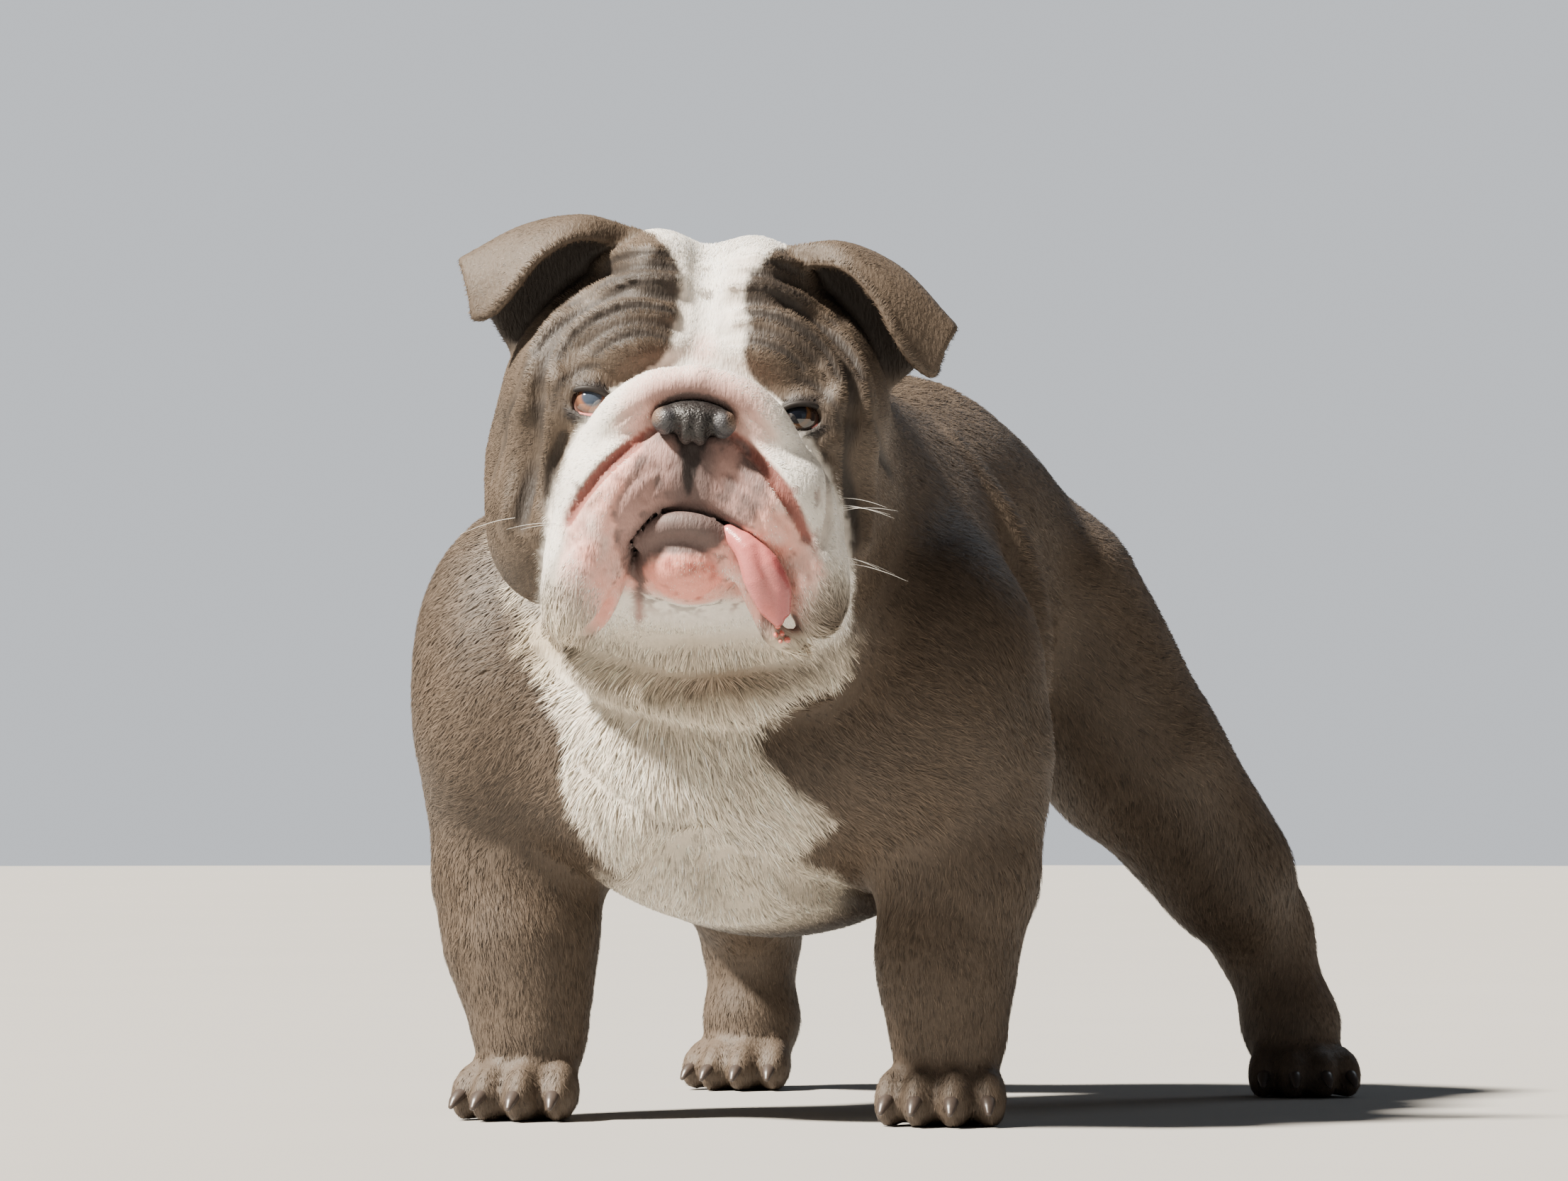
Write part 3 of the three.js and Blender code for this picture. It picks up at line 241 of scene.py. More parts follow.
def trunk_forms():
    forms = [
        ball((midline(110), 112, 236), (124, 152, 128), 30, (5, 0, 0)),
        ball((midline(0) + 6, -8, 190), (102, 76, 84), 30),
        ball((midline(90), 90, 160), (90, 118, 66), 30, (6, 0, 0)),
        *chain([[midline(y), y, z, r] for y, z, r in SPINE], 40),
        ball((midline(228), 228, 248), (88, 104, 78), 30),
        ball((midline(325), 328, 266), (86, 72, 80), 30),
        *chain([[36, 385, 300, 24], [38, 408, 282, 17], [40, 424, 258, 11], [41, 430, 240, 7]], 10),
    ]
    for side in (-1, 1):
        x = -118 if side < 0 else 103
        blade = [-106, 24, 266, 66] if side < 0 else [87, 24, 250, 60]
        deep = FOLD_DEPTH[side]
        forms += [
            limb([side * 62 + midline(90), 95, 320, 50], blade, 40),
            ball((x, 12, 215), (62, 74, 86), 34),
            ball((x + side * 4, 34, 160), (46, 52, 52), 26),
        ]
        forms += [rope([[side * (out - deep), y, z, r] for out, y, z, r in fold], 9) for fold in FLANK_FOLDS]
    return forms + [ball((137, 60, 158), (15, 17, 20), 8), cut(ball((4, -86, 104), (44, 56, 50), 18))]


def neck_forms():
    return [
        limb([10, -62, 322, 88], [midline(70), 70, 296, 102], 30),
        limb([8, -34, 352, 82], [midline(80), 85, 306, 76], 36),
        ball((16, -50, 262), (72, 48, 46), 24),
        rope([[-72, -52, 262, 13], [-48, -80, 238, 15], [-10, -97, 228, 16], [25, -100, 222, 16], [55, -75, 230, 15],
              [78, -28, 252, 13]], 12),
        rope([[-42, -88, 256, 9], [12, -106, 246, 11], [54, -90, 252, 9]], 10),
    ]


print("trunk and neck:", len(trunk_forms()) + len(neck_forms()), "forms")

# %% Legs and paws
TOES = [(-25, -8), (-9, -20), (9, -20), (25, -8)]
LEGS = {
    "fore_left": dict(paw=(118, -8), turn=6, size=1, thigh=[], bones=[
        [122, 22, 190, 46], [119, 14, 128, 42], [115, 5, 88, 37], [116, 2, 68, 33], [117.5, 0, 46, 29]]),
    "fore_right": dict(paw=(-112, -8), turn=-6, size=1, thigh=[], bones=[
        [-126, 22, 190, 48], [-124, 14, 128, 45], [-119, 6, 92, 41], [-114, 2, 64, 33], [-112, 0, 46, 28.5]]),
    "hind_left": dict(paw=(208, 398), turn=24, size=0.92, thigh=[
        ((88, 350, 236), (50, 62, 82), (0, -26, 0)), ((146, 386, 158), (34, 42, 58), (16, -32, 0))], bones=[
        [78, 322, 274, 60], [126, 354, 188, 49], [168, 392, 122, 37], [181, 416, 92, 29], [200, 410, 40, 27]]),
    "hind_right": dict(paw=(-119, 400), turn=-6, size=0.92, thigh=[
        ((-54, 350, 236), (50, 62, 82), (0, 24, 0)), ((-106, 374, 158), (34, 42, 56), (16, 8, 0))], bones=[
        [-22, 322, 274, 60], [-100, 338, 184, 50], [-115, 384, 118, 36], [-119, 412, 90, 29], [-118, 410, 40, 27]]),
}


def on_paw(leg, p):
    """Points given from the middle of a paw, x across and y backward, put where that paw stands."""
    p = np.asarray(p, float) * leg["size"]
    return p @ turning((0, 0, leg["turn"])).T + [*leg["paw"], 0]


def leg_forms(leg):
    size, turn, last = leg["size"], leg["turn"], leg["bones"][-1]
    forms = [
        *chain(leg["bones"], 14),
        limb(last, [*on_paw(leg, (0, 6, 17)), 23 * size], 12),
        ball(on_paw(leg, (0, 4, 15)), size * np.array((25, 27, 19)), 8, (0, 0, turn)),
        ball(on_paw(leg, (0, 14, 8)), size * np.array((20, 22, 13)), 6, (0, 0, turn)),
        *[ball(at, radii, 26, tilt) for at, radii, tilt in leg["thigh"]],
    ]
    for x, y in TOES:
        spread = (0, 0, turn + x * 0.5)
        forms += [
            ball(on_paw(leg, (x, y, 15)), size * np.array((9.5, 17, 15.5)), 9, spread),
            ball(on_paw(leg, (x * 1.04, y - 8, 10)), size * np.array((8.5, 11, 12)), 5, spread),
        ]
    return forms


body_field = field_of(trunk_forms() + neck_forms() + [form for leg in LEGS.values() for form in leg_forms(leg)])
print("at the middle of the chest:", body_field(np.array([[-14.0, 0, 190]])))


# %% Skull, and folds laid on it
def skull_forms():
    forms = [
        ball((0, 22, 20), (96, 78, 74), 20),
        ball((-3, 26, -22), (105, 66, 80), 20),
        ball((0, -46, -25), (58, 50, 42), 16),
        ball((0, 4, -76), (66, 66, 38), 20),
    ]
    for side in (-1, 1):
        forms += [
            ball((side * 25, 6, 65), (30, 54, 36), 12),
            ball((side * 56, -8, 8), (44, 50, 50), 14),
            ball((-70 if side < 0 else 64, 0, -52), (35, 50, 46), 16),
            ball((side * 36, -34, 38), (30, 26, 24), 12),
        ]
    return forms


def slope_of(field, p, e):
    """Gradient of a field by differences over e on either side, one row for each point."""
    steps = np.vstack([np.eye(3), -np.eye(3)]) * e
    d = field((p[None] + steps[:, None]).reshape(-1, 3)).reshape(6, -1)
    return ((d[:3] - d[3:]) / (2 * e)).T


def facing(field, x, z, start=-170.0, rounds=60):
    """Points of a field's surface met from the front at x and z, and the way out from it at each. They start well
    in front and go back by 0.6 of their distance, at least 0.1 mm, until they are within 0.05 mm."""
    p = np.column_stack([x, np.full(len(x), start), z])
    for _ in range(rounds):
        d = field(p)
        p[:, 1] += np.where(d < 0.05, 0, np.maximum(0.6 * d, 0.1))
    out = slope_of(field, p, 1.5)
    return p, out / np.linalg.norm(out, axis=1, keepdims=True)


def laid(field, points, sink, k):
    """A fold or crease laid on the front of a field: points [x, z, radius], sunk by a part of the radius."""
    x, z, r = np.array(points, float).T
    at, out = facing(field, x, z)
    return rope(np.column_stack([at - out * (sink * r)[:, None], r]), k)


def laid_rows(field, rows, side=1):
    """The folds or creases of a table with rows (points, sink, k), on one side of the face."""
    return [laid(field, mirrored(side, points), sink, k) for points, sink, k in rows]


def cuts_on(field, paired, middle=()):
    """Creases cut into a field: the paired rows on both sides, then the rows of the middle."""
    forms = laid_rows(field, paired, -1) + laid_rows(field, paired, 1) + laid_rows(field, middle)
    return [cut(form) for form in forms]


# Tables of folds and creases on one side of the face: points [x, z, radius], how far sunk, width of the blend.
NOSE_ROLL = [[0, -86, 19, 9.5], [21, -85, 14, 11], [36, -79, 1, 13], [49, -71, -18, 11.5], [60, -62, -38, 9],
             [67, -52, -58, 6]]
FOLDS = (
    ([[71, 14, 6], [73, -8, 7], [73, -34, 7], [72, -60, 6]], 0.3, 6),
    ([[72, 16, 5], [74, 27, 6], [66, 40, 6], [52, 52, 5.5], [36, 58, 5.5], [18, 55, 5]], 0.4, 6),
    ([[87, 2, 6], [86, 22, 6.5], [77, 44, 6.5], [60, 62, 6], [38, 71, 6], [14, 72, 5]], 0.5, 7),
    ([[91, -4, 8], [91, -28, 9], [91, -54, 8]], 0.7, 8),
    ([[64, 76, 5], [46, 84, 6], [26, 86, 5]], 0.6, 6),
)


def fold_forms(skull):
    """Lips, flews, nose roll and brow folds. The two sides of the photo's dog differ, and so do the flews here."""
    folds = []
    for side in (-1, 1):
        left = side > 0
        folds += [
            ball((side * (40 if left else 36), -66, -38), (34 if left else 32, 33, 32), 12),
            ball((63, -60, -65) if left else (-49, -63, -70), (20, 28, 37) if left else (23, 29, 42), 10,
                 (0, -14 if left else 6, 0)),
            ball((69, -53, -84) if left else (-53, -58, -93), (14, 22, 21) if left else (18, 23, 22), 8),
            rope(mirrored(side, NOSE_ROLL), 4),
            ball(eye_at(side), (16, 15.5, 15), 6),
            *laid_rows(skull, FOLDS, side),
        ]
    return folds


CREASES = (
    ([[21, -6, 2.6], [31, -15, 3.6], [41, -25, 3.8], [49, -35, 3.6], [56, -46, 3.0], [61, -56, 2.4]], 0.4, 2),
    ([[80, 10, 4], [80, -12, 5], [82, -34, 5.5], [86, -58, 4]], 0, 5),
    ([[12, 63, 3], [36, 64.5, 3.5], [54, 58, 3.5], [70, 44, 3.5], [80, 24, 4], [80, 8, 4]], 0.1, 4),
    ([[12, 46, 3], [30, 49, 3.5], [46, 45, 3.5], [60, 35, 3]], -0.2, 4),
    ([[12, 79, 3], [36, 79, 3.5], [56, 72, 3.5], [72, 60, 3.5]], 0.1, 4),
    ([[8, 31, 4], [22, 26, 5], [36, 19, 4.5], [44, 14, 3]], -0.6, 6),
)
UNDER_ROLL = (0, len(CREASES))
MIDDLE_CREASES = (
    ([[0, -16, 2], [1, -28, 2.6], [3, -40, 3]], 0, 3),
    ([[-29, -86, 2.5], [-22, -68, 3], [-10, -51, 3.2], [3, -45, 3.2], [17, -51, 3], [31, -58, 3],
      [44, -70, 2.5]], 0, 3),
    ([[0, 36, 5], [0, 58, 5], [0, 78, 5], [0, 92, 4]], -0.6, 8),
)

skull_field = field_of(skull_forms())
folded = skull_forms() + fold_forms(skull_field)
face_field = field_of(folded)
creases = cuts_on(face_field, CREASES, MIDDLE_CREASES)
print("face:", len(folded), "rounded forms and", len(creases), "creases")


# %% Lids, jaw, nose, tongue, and the leaves of the ears
LID_OPENING = (12.5, 11, 7.8)
LID_TILT = 8


def lid_openings():
    return [cut(ball(eye_at(side) + (side, -16, 1), LID_OPENING, 1.2, (0, side * -LID_TILT, 0)))
            for side in (-1, 1)]


def lid_line(side, width, height, off, start=0, end=360, count=20):
    """Points along the edge of the lids, found on a ball a little larger than the eye: x = width cos a,
    z = height sin a, y = -sqrt(r^2 - x^2 - z^2), turned with the eye's tilt."""
    a, tilt = np.radians(np.linspace(start, end, count)), np.radians(side * LID_TILT)
    x, z = side * width * np.cos(a), height * np.sin(a)
    x, z = x * np.cos(tilt) - z * np.sin(tilt), x * np.sin(tilt) + z * np.cos(tilt)
    r = EYE_RADIUS + off
    x, z = x + side * 0.6, z + 1
    y = -np.sqrt(np.maximum(r ** 2 - x ** 2 - z ** 2, 4))
    return np.column_stack([x, y, z]) + eye_at(side)


def lid_rims():
    """Soft rims around both openings; the lower one is heavier and hangs away from the eye."""
    rims = []
    for side in (-1, 1):
        upper = lid_line(side, 12.6, 8.4, 1.0, -12, 192, 12)
        lower = lid_line(side, 12.6, 8.6, 1.6, 190, 350, 10)
        rims += [rope(np.column_stack([upper, np.full(len(upper), 1.7)]), 1.6, 2),
                 rope(np.column_stack([lower, np.full(len(lower), 2.1)]), 1.8, 2)]
    return rims


def jaw_forms():
    return [
        ball((2, -62, -71), (27, 31, 22), 8),
        ball((2, -40, -74), (32, 34, 18), 8),
        rope([[-22, -78, -62, 6], [-9, -88, -54, 7], [6, -89, -54, 7], [20, -83, -60, 7]], 6),
        cut(rope([[-20, -88, -70, 2], [-6, -96, -65, 3], [8, -96, -65, 3], [19, -88, -71, 2]], 3)),
        rope([[16, -84, -62, 6], [30, -78, -76, 6], [41, -74, -95, 6], [49, -73, -106, 6.5], [58, -68, -109, 6]], 5),
    ]


def nose_forms():
    """The pad, then on each side a wing, the swelling beside the middle, a nostril and the slit that leaves it."""
    forms = [ball((0, -88, 1.5), (18.5, 15, 11), 3)]
    nostril = [[8.2, -106, 4, 1.0], [8.4, -105, -1, 1.6], [8.8, -103, -5, 2.6], [9.8, -101, -8.5, 3.8]]
    slit = [[10.5, -101, -9.5, 3.0], [15.5, -99, -9.6, 2], [21, -93, -7, 1.8]]
    for side in (-1, 1):
        forms += [
            ball((side * 14.5, -94, -1.5), (7, 9.5, 7.6), 2.5),
            ball((side * 3.6, -96, -4), (5, 8, 9.5), 3),
            cut(rope(mirrored(side, nostril), 1)),
            cut(rope(mirrored(side, slit), 1)),
        ]
    return forms + [cut(rope([[0, -106.5, 2, 1.6], [0, -105, -13, 2]], 1.2))]


nose_field = field_of(nose_forms())


def nose_base(h):
    """The leather alone: the nose without the upper part that lies under the roll's hair."""
    return nose_field(h) + 0.15 + 3.4 * fade(h[:, 2], 2, 12)


def tongue_forms():
    return [
        rope([[22, -86, -56, 5], [31, -91, -64, 6.5], [37, -90, -78, 7], [44, -86, -91, 6], [49, -83, -98, 3.5]], 2),
        rope([[30, -88, -59, 4.5], [42, -91, -70, 6], [49, -88, -82, 6], [51, -84, -93, 4.5]], 2),
    ]


EAR_LINES = {
    1: dict(foot=[[40, 6, 78], [56, 16, 58], [74, 22, 41], [87, 24, 20]],
            crest=[[41, -3, 91], [68, -4, 97], [98, -4, 87], [127, -6, 61]],
            rim=[[44, -9, 88], [70, -22, 87], [89, -28, 71], [101, -30, 52], [117, -24, 30]]),
    -1: dict(foot=[[-38, 6, 82], [-54, 16, 62], [-72, 22, 45], [-87, 24, 24]],
             crest=[[-39, -3, 95], [-64, -4, 101], [-93, -4, 95], [-123, -6, 77]],
             rim=[[-42, -9, 92], [-66, -22, 93], [-85, -28, 81], [-98, -30, 63], [-113, -24, 42]]),
}
EAR_HALF = (2.7, 2.2)
LEAF_SPACING = 1.9


def ear_sheet(side, n_along=72, n_across=72):
    """The leaf of an ear as a grid of points. Along it run three curves: its foot, its crest and its rim; across
    it, at each step, one smooth curve foot - behind - crest - front - rim. Gives points, normals, half thickness."""
    s = np.linspace(0, 1, n_along)
    foot, crest, rim = [curve_points(EAR_LINES[side][name], s) for name in ("foot", "crest", "rim")]
    behind = foot + 0.6 * (crest - foot) + (0, 7, 0)
    front = crest + 0.45 * (rim - crest) + (0, -3, 3)
    corner = 1 - 0.07 * np.maximum(0, (s - 0.8) / 0.2) ** 2
    t = np.linspace(0, 1, n_across)
    lines = np.stack([foot, behind, crest, front, rim], axis=1)
    points = np.array([curve_points(line, t * c) for line, c in zip(lines, corner)])
    normals = np.cross(np.gradient(points, axis=0), np.gradient(points, axis=1))
    normals /= np.maximum(np.linalg.norm(normals, axis=2, keepdims=True), 1e-9)
    half = np.broadcast_to(EAR_HALF[0] + (EAR_HALF[1] - EAR_HALF[0]) * t, points.shape[:2])
    return points.reshape(-1, 3), normals.reshape(-1, 3), half.reshape(-1)


def ear(side, k=5):
    """An ear as a form: from the nearest point of its leaf, the distance along the normal and beside it, the
    latter counted only past the spacing of the leaf's points, less half the thickness there."""
    points, normals, half = ear_sheet(side)
    middle = (points.min(0) + points.max(0)) / 2
    reach = np.linalg.norm(points - middle, axis=1).max() + EAR_HALF[0]

    def distance(p):
        centre = p.mean(0)
        spread = np.linalg.norm(p - centre, axis=1).max()
        from_centre = np.linalg.norm(points - centre, axis=1)
        near = np.flatnonzero(from_centre <= from_centre.min() + 2 * spread)
        q, local = (points[near] - centre).astype(np.float32), (p - centre).astype(np.float32)
        square = (q * q).sum(1)
        best = np.concatenate([np.argmin(square - 2 * part @ q.T, axis=1)
                               for part in np.array_split(local, len(local) * len(near) // 4_000_000 + 1)])
        best = near[best]
        away = p - points[best]
        across = np.abs((away * normals[best]).sum(1))
        beside = np.sqrt(np.maximum((away * away).sum(1) - across ** 2, 0))
        return np.sqrt(across ** 2 + np.maximum(beside - LEAF_SPACING, 0) ** 2) - half[best]

    return Form(distance, k, middle, reach, False)


jaw_field = field_of(jaw_forms())
tongue_field = field_of(tongue_forms())
print("ear leaf of", len(ear_sheet(1)[0]), "points; jaw at its middle:", jaw_field(np.array([[2.0, -62, -71]])))

# %% [markdown]
# ## The whole skin as one field
#
# The body, the head and the lower jaw are one animal, so they are one skin. The field of the solids is lowered by
# the depth of the coat: three millimetres on the trunk, little on the muzzle, where the hair is shortest. Then the
# fine parts are added that the solids leave out: lid rims, thin wrinkles between the large ones, the gap of the
# mouth and under the flews, and the hollow of the fore chest, below and between its two ridges of loose skin.

# %% Skin field
HEAD_REACH = 190
MOUTH_GAP = 2.4
BODY_COAT, PAW_COAT_LESS = 3.0, 1.8
FACE_COAT, MUZZLE_COAT_LESS = 1.3, 0.6


def fade(value, low, high):
    """0 below low, 1 above high, smooth between."""
    t = np.clip((value - low) / (high - low), 0, 1)
    return t * t * (3 - 2 * t)


# Thin creases over the brow, beside the nose roll and on the cheeks; two down the middle of the brow; and what is
# hollow on the fore chest, below and between the two ridges that run down from the point of the breast.
WRINKLES = (
    ([[14, 41, 1.8], [28, 43, 2.6], [42, 39, 2.6], [53, 31, 1.8]], 0.3, 2),
    ([[13, 55, 2], [32, 57.5, 3], [50, 51, 3], [64, 40, 2.6], [71, 28, 2]], 0.3, 2),
    ([[11, 67, 2], [30, 69, 3], [46, 64, 3], [60, 56, 3], [74, 44, 2.6], [84, 30, 2.2]], 0.4, 2),
    ([[10, 73.5, 1.8], [30, 75.5, 2.6], [50, 70, 2.6], [68, 57, 2.4]], 0.3, 2),
    ([[12, 84, 1.8], [30, 85.5, 2.6], [50, 80, 2.6], [66, 70, 2.2]], 0.3, 2),
    ([[50, 25, 1.3], [61, 22, 1.8], [70, 13, 1.5], [74, 2, 1.3]], 0.1, 2),
    ([[66, -12, 2], [71, -28, 2.8], [72, -44, 2.8], [70, -58, 2]], 0.4, 2.5),
    ([[88, 26, 2], [93, 8, 2.6], [98, -12, 2.8], [103, -34, 2.4]], 0, 4),
    ([[28, 4, 1.3], [40, -6, 1.6], [49, -18, 1.4]], 0.1, 2),
    ([[16, -25, 1.2], [26, -31, 1.6], [34, -42, 1.6], [38, -54, 1.2]], 0, 2.5),
    ([[8, -24, 1.1], [16, -33, 1.4], [22, -43, 1.2]], 0, 2),
    ([[54, -64, 1.4], [62, -72, 1.8], [66, -84, 1.6]], 0, 3),
    ([[44, -44, 1.4], [54, -54, 1.8], [60, -66, 1.6]], -0.1, 3),
)
MIDDLE_WRINKLES = (
    ([[-8, 48, 2.5], [-9, 60, 3], [-9, 72, 2.5]], 0, 3),
    ([[10, 44, 2], [11, 56, 2.5], [9, 68, 2]], -0.1, 3),
)
CHEST_HOLLOW = (
    ([[-42, 120, 4], [-24, 133, 8], [-4, 145, 10], [6, 147, 9]], 0.45, 5),
    ([[2, 147, 9], [22, 138, 10], [44, 123, 9], [62, 109, 5]], 0.45, 5),
    ([[4, 130, 13], [8, 112, 14]], 0.45, 12),
    ([[-60, 190, 2.5], [-38, 172, 3.5], [-14, 160, 3], [2, 156, 2]], 0.45, 6),
)


def under_flews():
    """What is taken out of the throat along the lower edges of the flews, so that they hang free."""
    return [
        cut(rope(points, k)) for points, k in (
            ([[-24, -86, -72, 3.4], [-29, -84, -86, 4], [-35, -80, -98, 4.4], [-43, -78, -109, 4.6],
              [-56, -74, -118, 4.4], [-70, -64, -116, 4]], 4),
            ([[47, -88, -74, 2.5], [52, -86, -88, 3], [57, -84, -102, 3.6], [66, -76, -111, 4],
              [78, -68, -108, 4], [88, -58, -94, 3.6]], 4),
            ([[-22, -50, -99, 9], [-8, -51, -106, 13], [12, -51, -106, 13], [27, -50, -99, 9]], 6),
            ([[-26, -78, -78, 3.5], [-31, -76, -90, 4.5], [-37, -72, -101, 5], [-46, -70, -112, 5],
              [-58, -66, -120, 4.5]], 3),
        )
    ]


chest_cuts = cuts_on(body_field, (), CHEST_HOLLOW)
wrinkles = cuts_on(face_field, WRINKLES, MIDDLE_WRINKLES)
openings = lid_openings()
head_cuts = creases + wrinkles + openings
free_flews = under_flews()
haw_bump = [ball((65, -54, -6), (7.5, 6, 6.5), 3)]
ears = [ear(side) for side in (-1, 1)]
rims = lid_rims()


def worked(d, p, forms, blend, margin):
    """A distance blended with each of a list of forms, only within a margin of that form."""
    for form in forms:
        pick = np.flatnonzero(np.linalg.norm(p - form.centre, axis=1) - form.reach < form.k + margin)
        if len(pick):
            d[pick] = blend(d[pick], form.distance(p[pick]), form.k)
    return d


def carved(d, p, forms):
    return worked(d, p, forms, carve, 6)


def added(d, p, forms):
    return worked(d, p, forms, join, 12)


def head_skin(h):
    """Head, ears and jaw with the depth of the face's hair taken off, in the head's own frame."""
    x, y, z = h.T
    depth = FACE_COAT - MUZZLE_COAT_LESS * fade(-y, 30, 70) * fade(-z, -20, 20)
    d = face_field(h) + depth
    d = carved(d, h, head_cuts)
    d = carved(added(d, h, haw_bump), h, openings[1:])
    d = added(d, h, rims)
    near = np.flatnonzero((y < -15) & (z < -20) & (np.abs(x) < 100))
    if len(near):
        p = h[near]
        jaw = jaw_field(p) + 0.5
        open_mouth = fade(p[:, 2], -96, -72) * fade(-p[:, 1], 52, 66)
        gap = MOUTH_GAP * open_mouth - 8 * (1 - open_mouth)
        d[near] = join(np.maximum(d[near], gap - jaw), jaw, 0.6 + 11 * (1 - open_mouth))
    near = np.flatnonzero((np.abs(x) < 45) & (y < -60) & (np.abs(z) < 30))
    d[near] = np.maximum(d[near], 0.1 - nose_base(h[near]))
    for side in (-1, 1):
        d = np.maximum(d, EYE_RADIUS + 0.4 - np.linalg.norm(h - eye_at(side), axis=1))
    return added(d, h, ears)


def body_skin(p):
    """Trunk, neck and legs with the depth of the coat taken off, less on the paws."""
    depth = BODY_COAT - PAW_COAT_LESS * fade(-p[:, 2], -60, -25)
    return carved(body_field(p) + depth, p, chest_cuts)


def skin_field(p):
    """Body and head joined, softly at the nape and sharply under the chin, and flat where it meets the floor."""
    d = body_skin(p)
    near = np.flatnonzero(((p - HEAD_AT) ** 2).sum(1) < HEAD_REACH ** 2)
    if len(near):
        h = to_head(p[near])
        soft = 12 - 9.5 * fade(-h[:, 2], 60, 80) * fade(-h[:, 1], 0, 30)
        d[near] = carved(join(d[near], head_skin(h), soft), h, free_flews)
    return np.maximum(d, -p[:, 2])


print("skin at the brow:", skin_field(from_head([[0, -60, 40.0], [0, -110, 40.0]])))

# %% [markdown]
# ## From the field to a mesh
#
# The surface where the field is zero has to become a mesh, and the face needs points more than three times as close
# as the flank. So space is stretched away from the face before it is divided into cells: a cell is 2.1 mm wide on
# the face and grows toward 7.7 mm on the rump. Every cell the surface passes through gets one point, the mean of
# where it crosses the cell's edges, and every crossed edge gets one four-sided face. Marching through tetrahedra
# would give three times the faces for the same shape.

# %% Cells over the skin
FACE_MIDDLE = from_head([0, -55, 0])
FACE_SCALE = 0.48
BODY_SCALE = 1.75
CHANGE_AT = 330
CHANGE_OVER = 40
STEP = 4.4
BLOCK = 6
BLOCK_REACH, BLOCK_MARGIN = 1.6, 6
OUTSIDE = 9.0


def stretch(q):
    """Evenly spaced space to real space: a point at distance r from the face goes to f(r), where f grows by
    FACE_SCALE near the face and by BODY_SCALE far from it, changing over about CHANGE_AT."""
    r = np.maximum(np.linalg.norm(q, axis=-1, keepdims=True), 1e-6)
    low = CHANGE_OVER * np.logaddexp(0, -CHANGE_AT / CHANGE_OVER)
    grown = CHANGE_OVER * np.logaddexp(0, (r - CHANGE_AT) / CHANGE_OVER) - low
    return FACE_MIDDLE + q * (FACE_SCALE + (BODY_SCALE - FACE_SCALE) * grown / r)


def net(field, low, high, step, place=stretch):
    """Mesh of the surface where a field is zero, by cells of a space that place puts into the real one. Only blocks
    of cells whose middle is near the surface are looked at. Points of space that aren't count as outside."""
    low = np.array(low, float)
    cells = np.ceil((np.array(high) - low) / step / BLOCK).astype(int) * BLOCK
    blocks = np.stack(np.meshgrid(*[np.arange(0, n, BLOCK) for n in cells], indexing="ij"), -1).reshape(-1, 3)
    middle = place(low + (blocks + BLOCK / 2) * step)
    side = np.linalg.norm(place(low + blocks * step) - middle, axis=1)
    blocks = blocks[np.abs(sampled(field, middle, 96.0)) < BLOCK_REACH * side + BLOCK_MARGIN]
    shape = cells + 1
    wanted = np.zeros(shape, bool)
    offsets = np.stack(np.meshgrid(*[np.arange(BLOCK + 1)] * 3, indexing="ij"), -1).reshape(-1, 3)
    for offset in offsets:
        i, j, k = (blocks + offset).T
        wanted[i, j, k] = True
    ids = np.flatnonzero(wanted)
    ijk = np.stack(np.unravel_index(ids, shape), -1)
    value = np.full(shape, OUTSIDE, np.float32)
    value.reshape(-1)[ids] = sampled(field, place(low + ijk * step))
    value[wanted & (np.abs(value) < 1e-4)] = 1e-4
    print("points of space looked at:", len(ids))
    inside = value < 0
    starts = np.stack(np.meshgrid(*[np.arange(BLOCK)] * 3, indexing="ij"), -1).reshape(-1, 3)
    cell = (blocks[:, None] + starts[None]).reshape(-1, 3)
    corners = np.stack(np.meshgrid([0, 1], [0, 1], [0, 1], indexing="ij"), -1).reshape(-1, 3)
    at_corners = np.stack([inside[tuple((cell + c).T)] for c in corners], 1)
    cell = cell[at_corners.any(1) & ~at_corners.all(1)]
    total, count = np.zeros(cell.shape), np.zeros(len(cell))
    for a in range(8):
        for b in range(a + 1, 8):
            if np.abs(corners[a] - corners[b]).sum() != 1:
                continue
            va, vb = value[tuple((cell + corners[a]).T)], value[tuple((cell + corners[b]).T)]
            crossed = (va < 0) != (vb < 0)
            t = np.where(crossed, va / np.where(crossed, va - vb, 1), 0)
            total += crossed[:, None] * (corners[a] + t[:, None] * (corners[b] - corners[a]))
            count += crossed
    points = place(low + (cell + total / count[:, None]) * step)
    number = np.full(cells, -1, np.int64)
    number[tuple(cell.T)] = np.arange(len(cell))
    faces, one = [], np.eye(3, dtype=int)
    for axis in range(3):
        u, v = (axis + 1) % 3, (axis + 2) % 3
        first = inside[tuple(cell.T)]
        second = inside[tuple((cell + one[axis]).T)]
        crossed = (first != second) & (cell[:, u] > 0) & (cell[:, v] > 0)
        at, flip = cell[crossed], first[crossed]
        quad = np.stack([number[tuple((at - o).T)] for o in (0 * one[u], one[u], one[u] + one[v], one[v])], 1)
        whole = (quad >= 0).all(1)
        faces.append(np.where(flip[whole, None], quad[whole], quad[whole, ::-1]))
    return points, np.concatenate(faces)


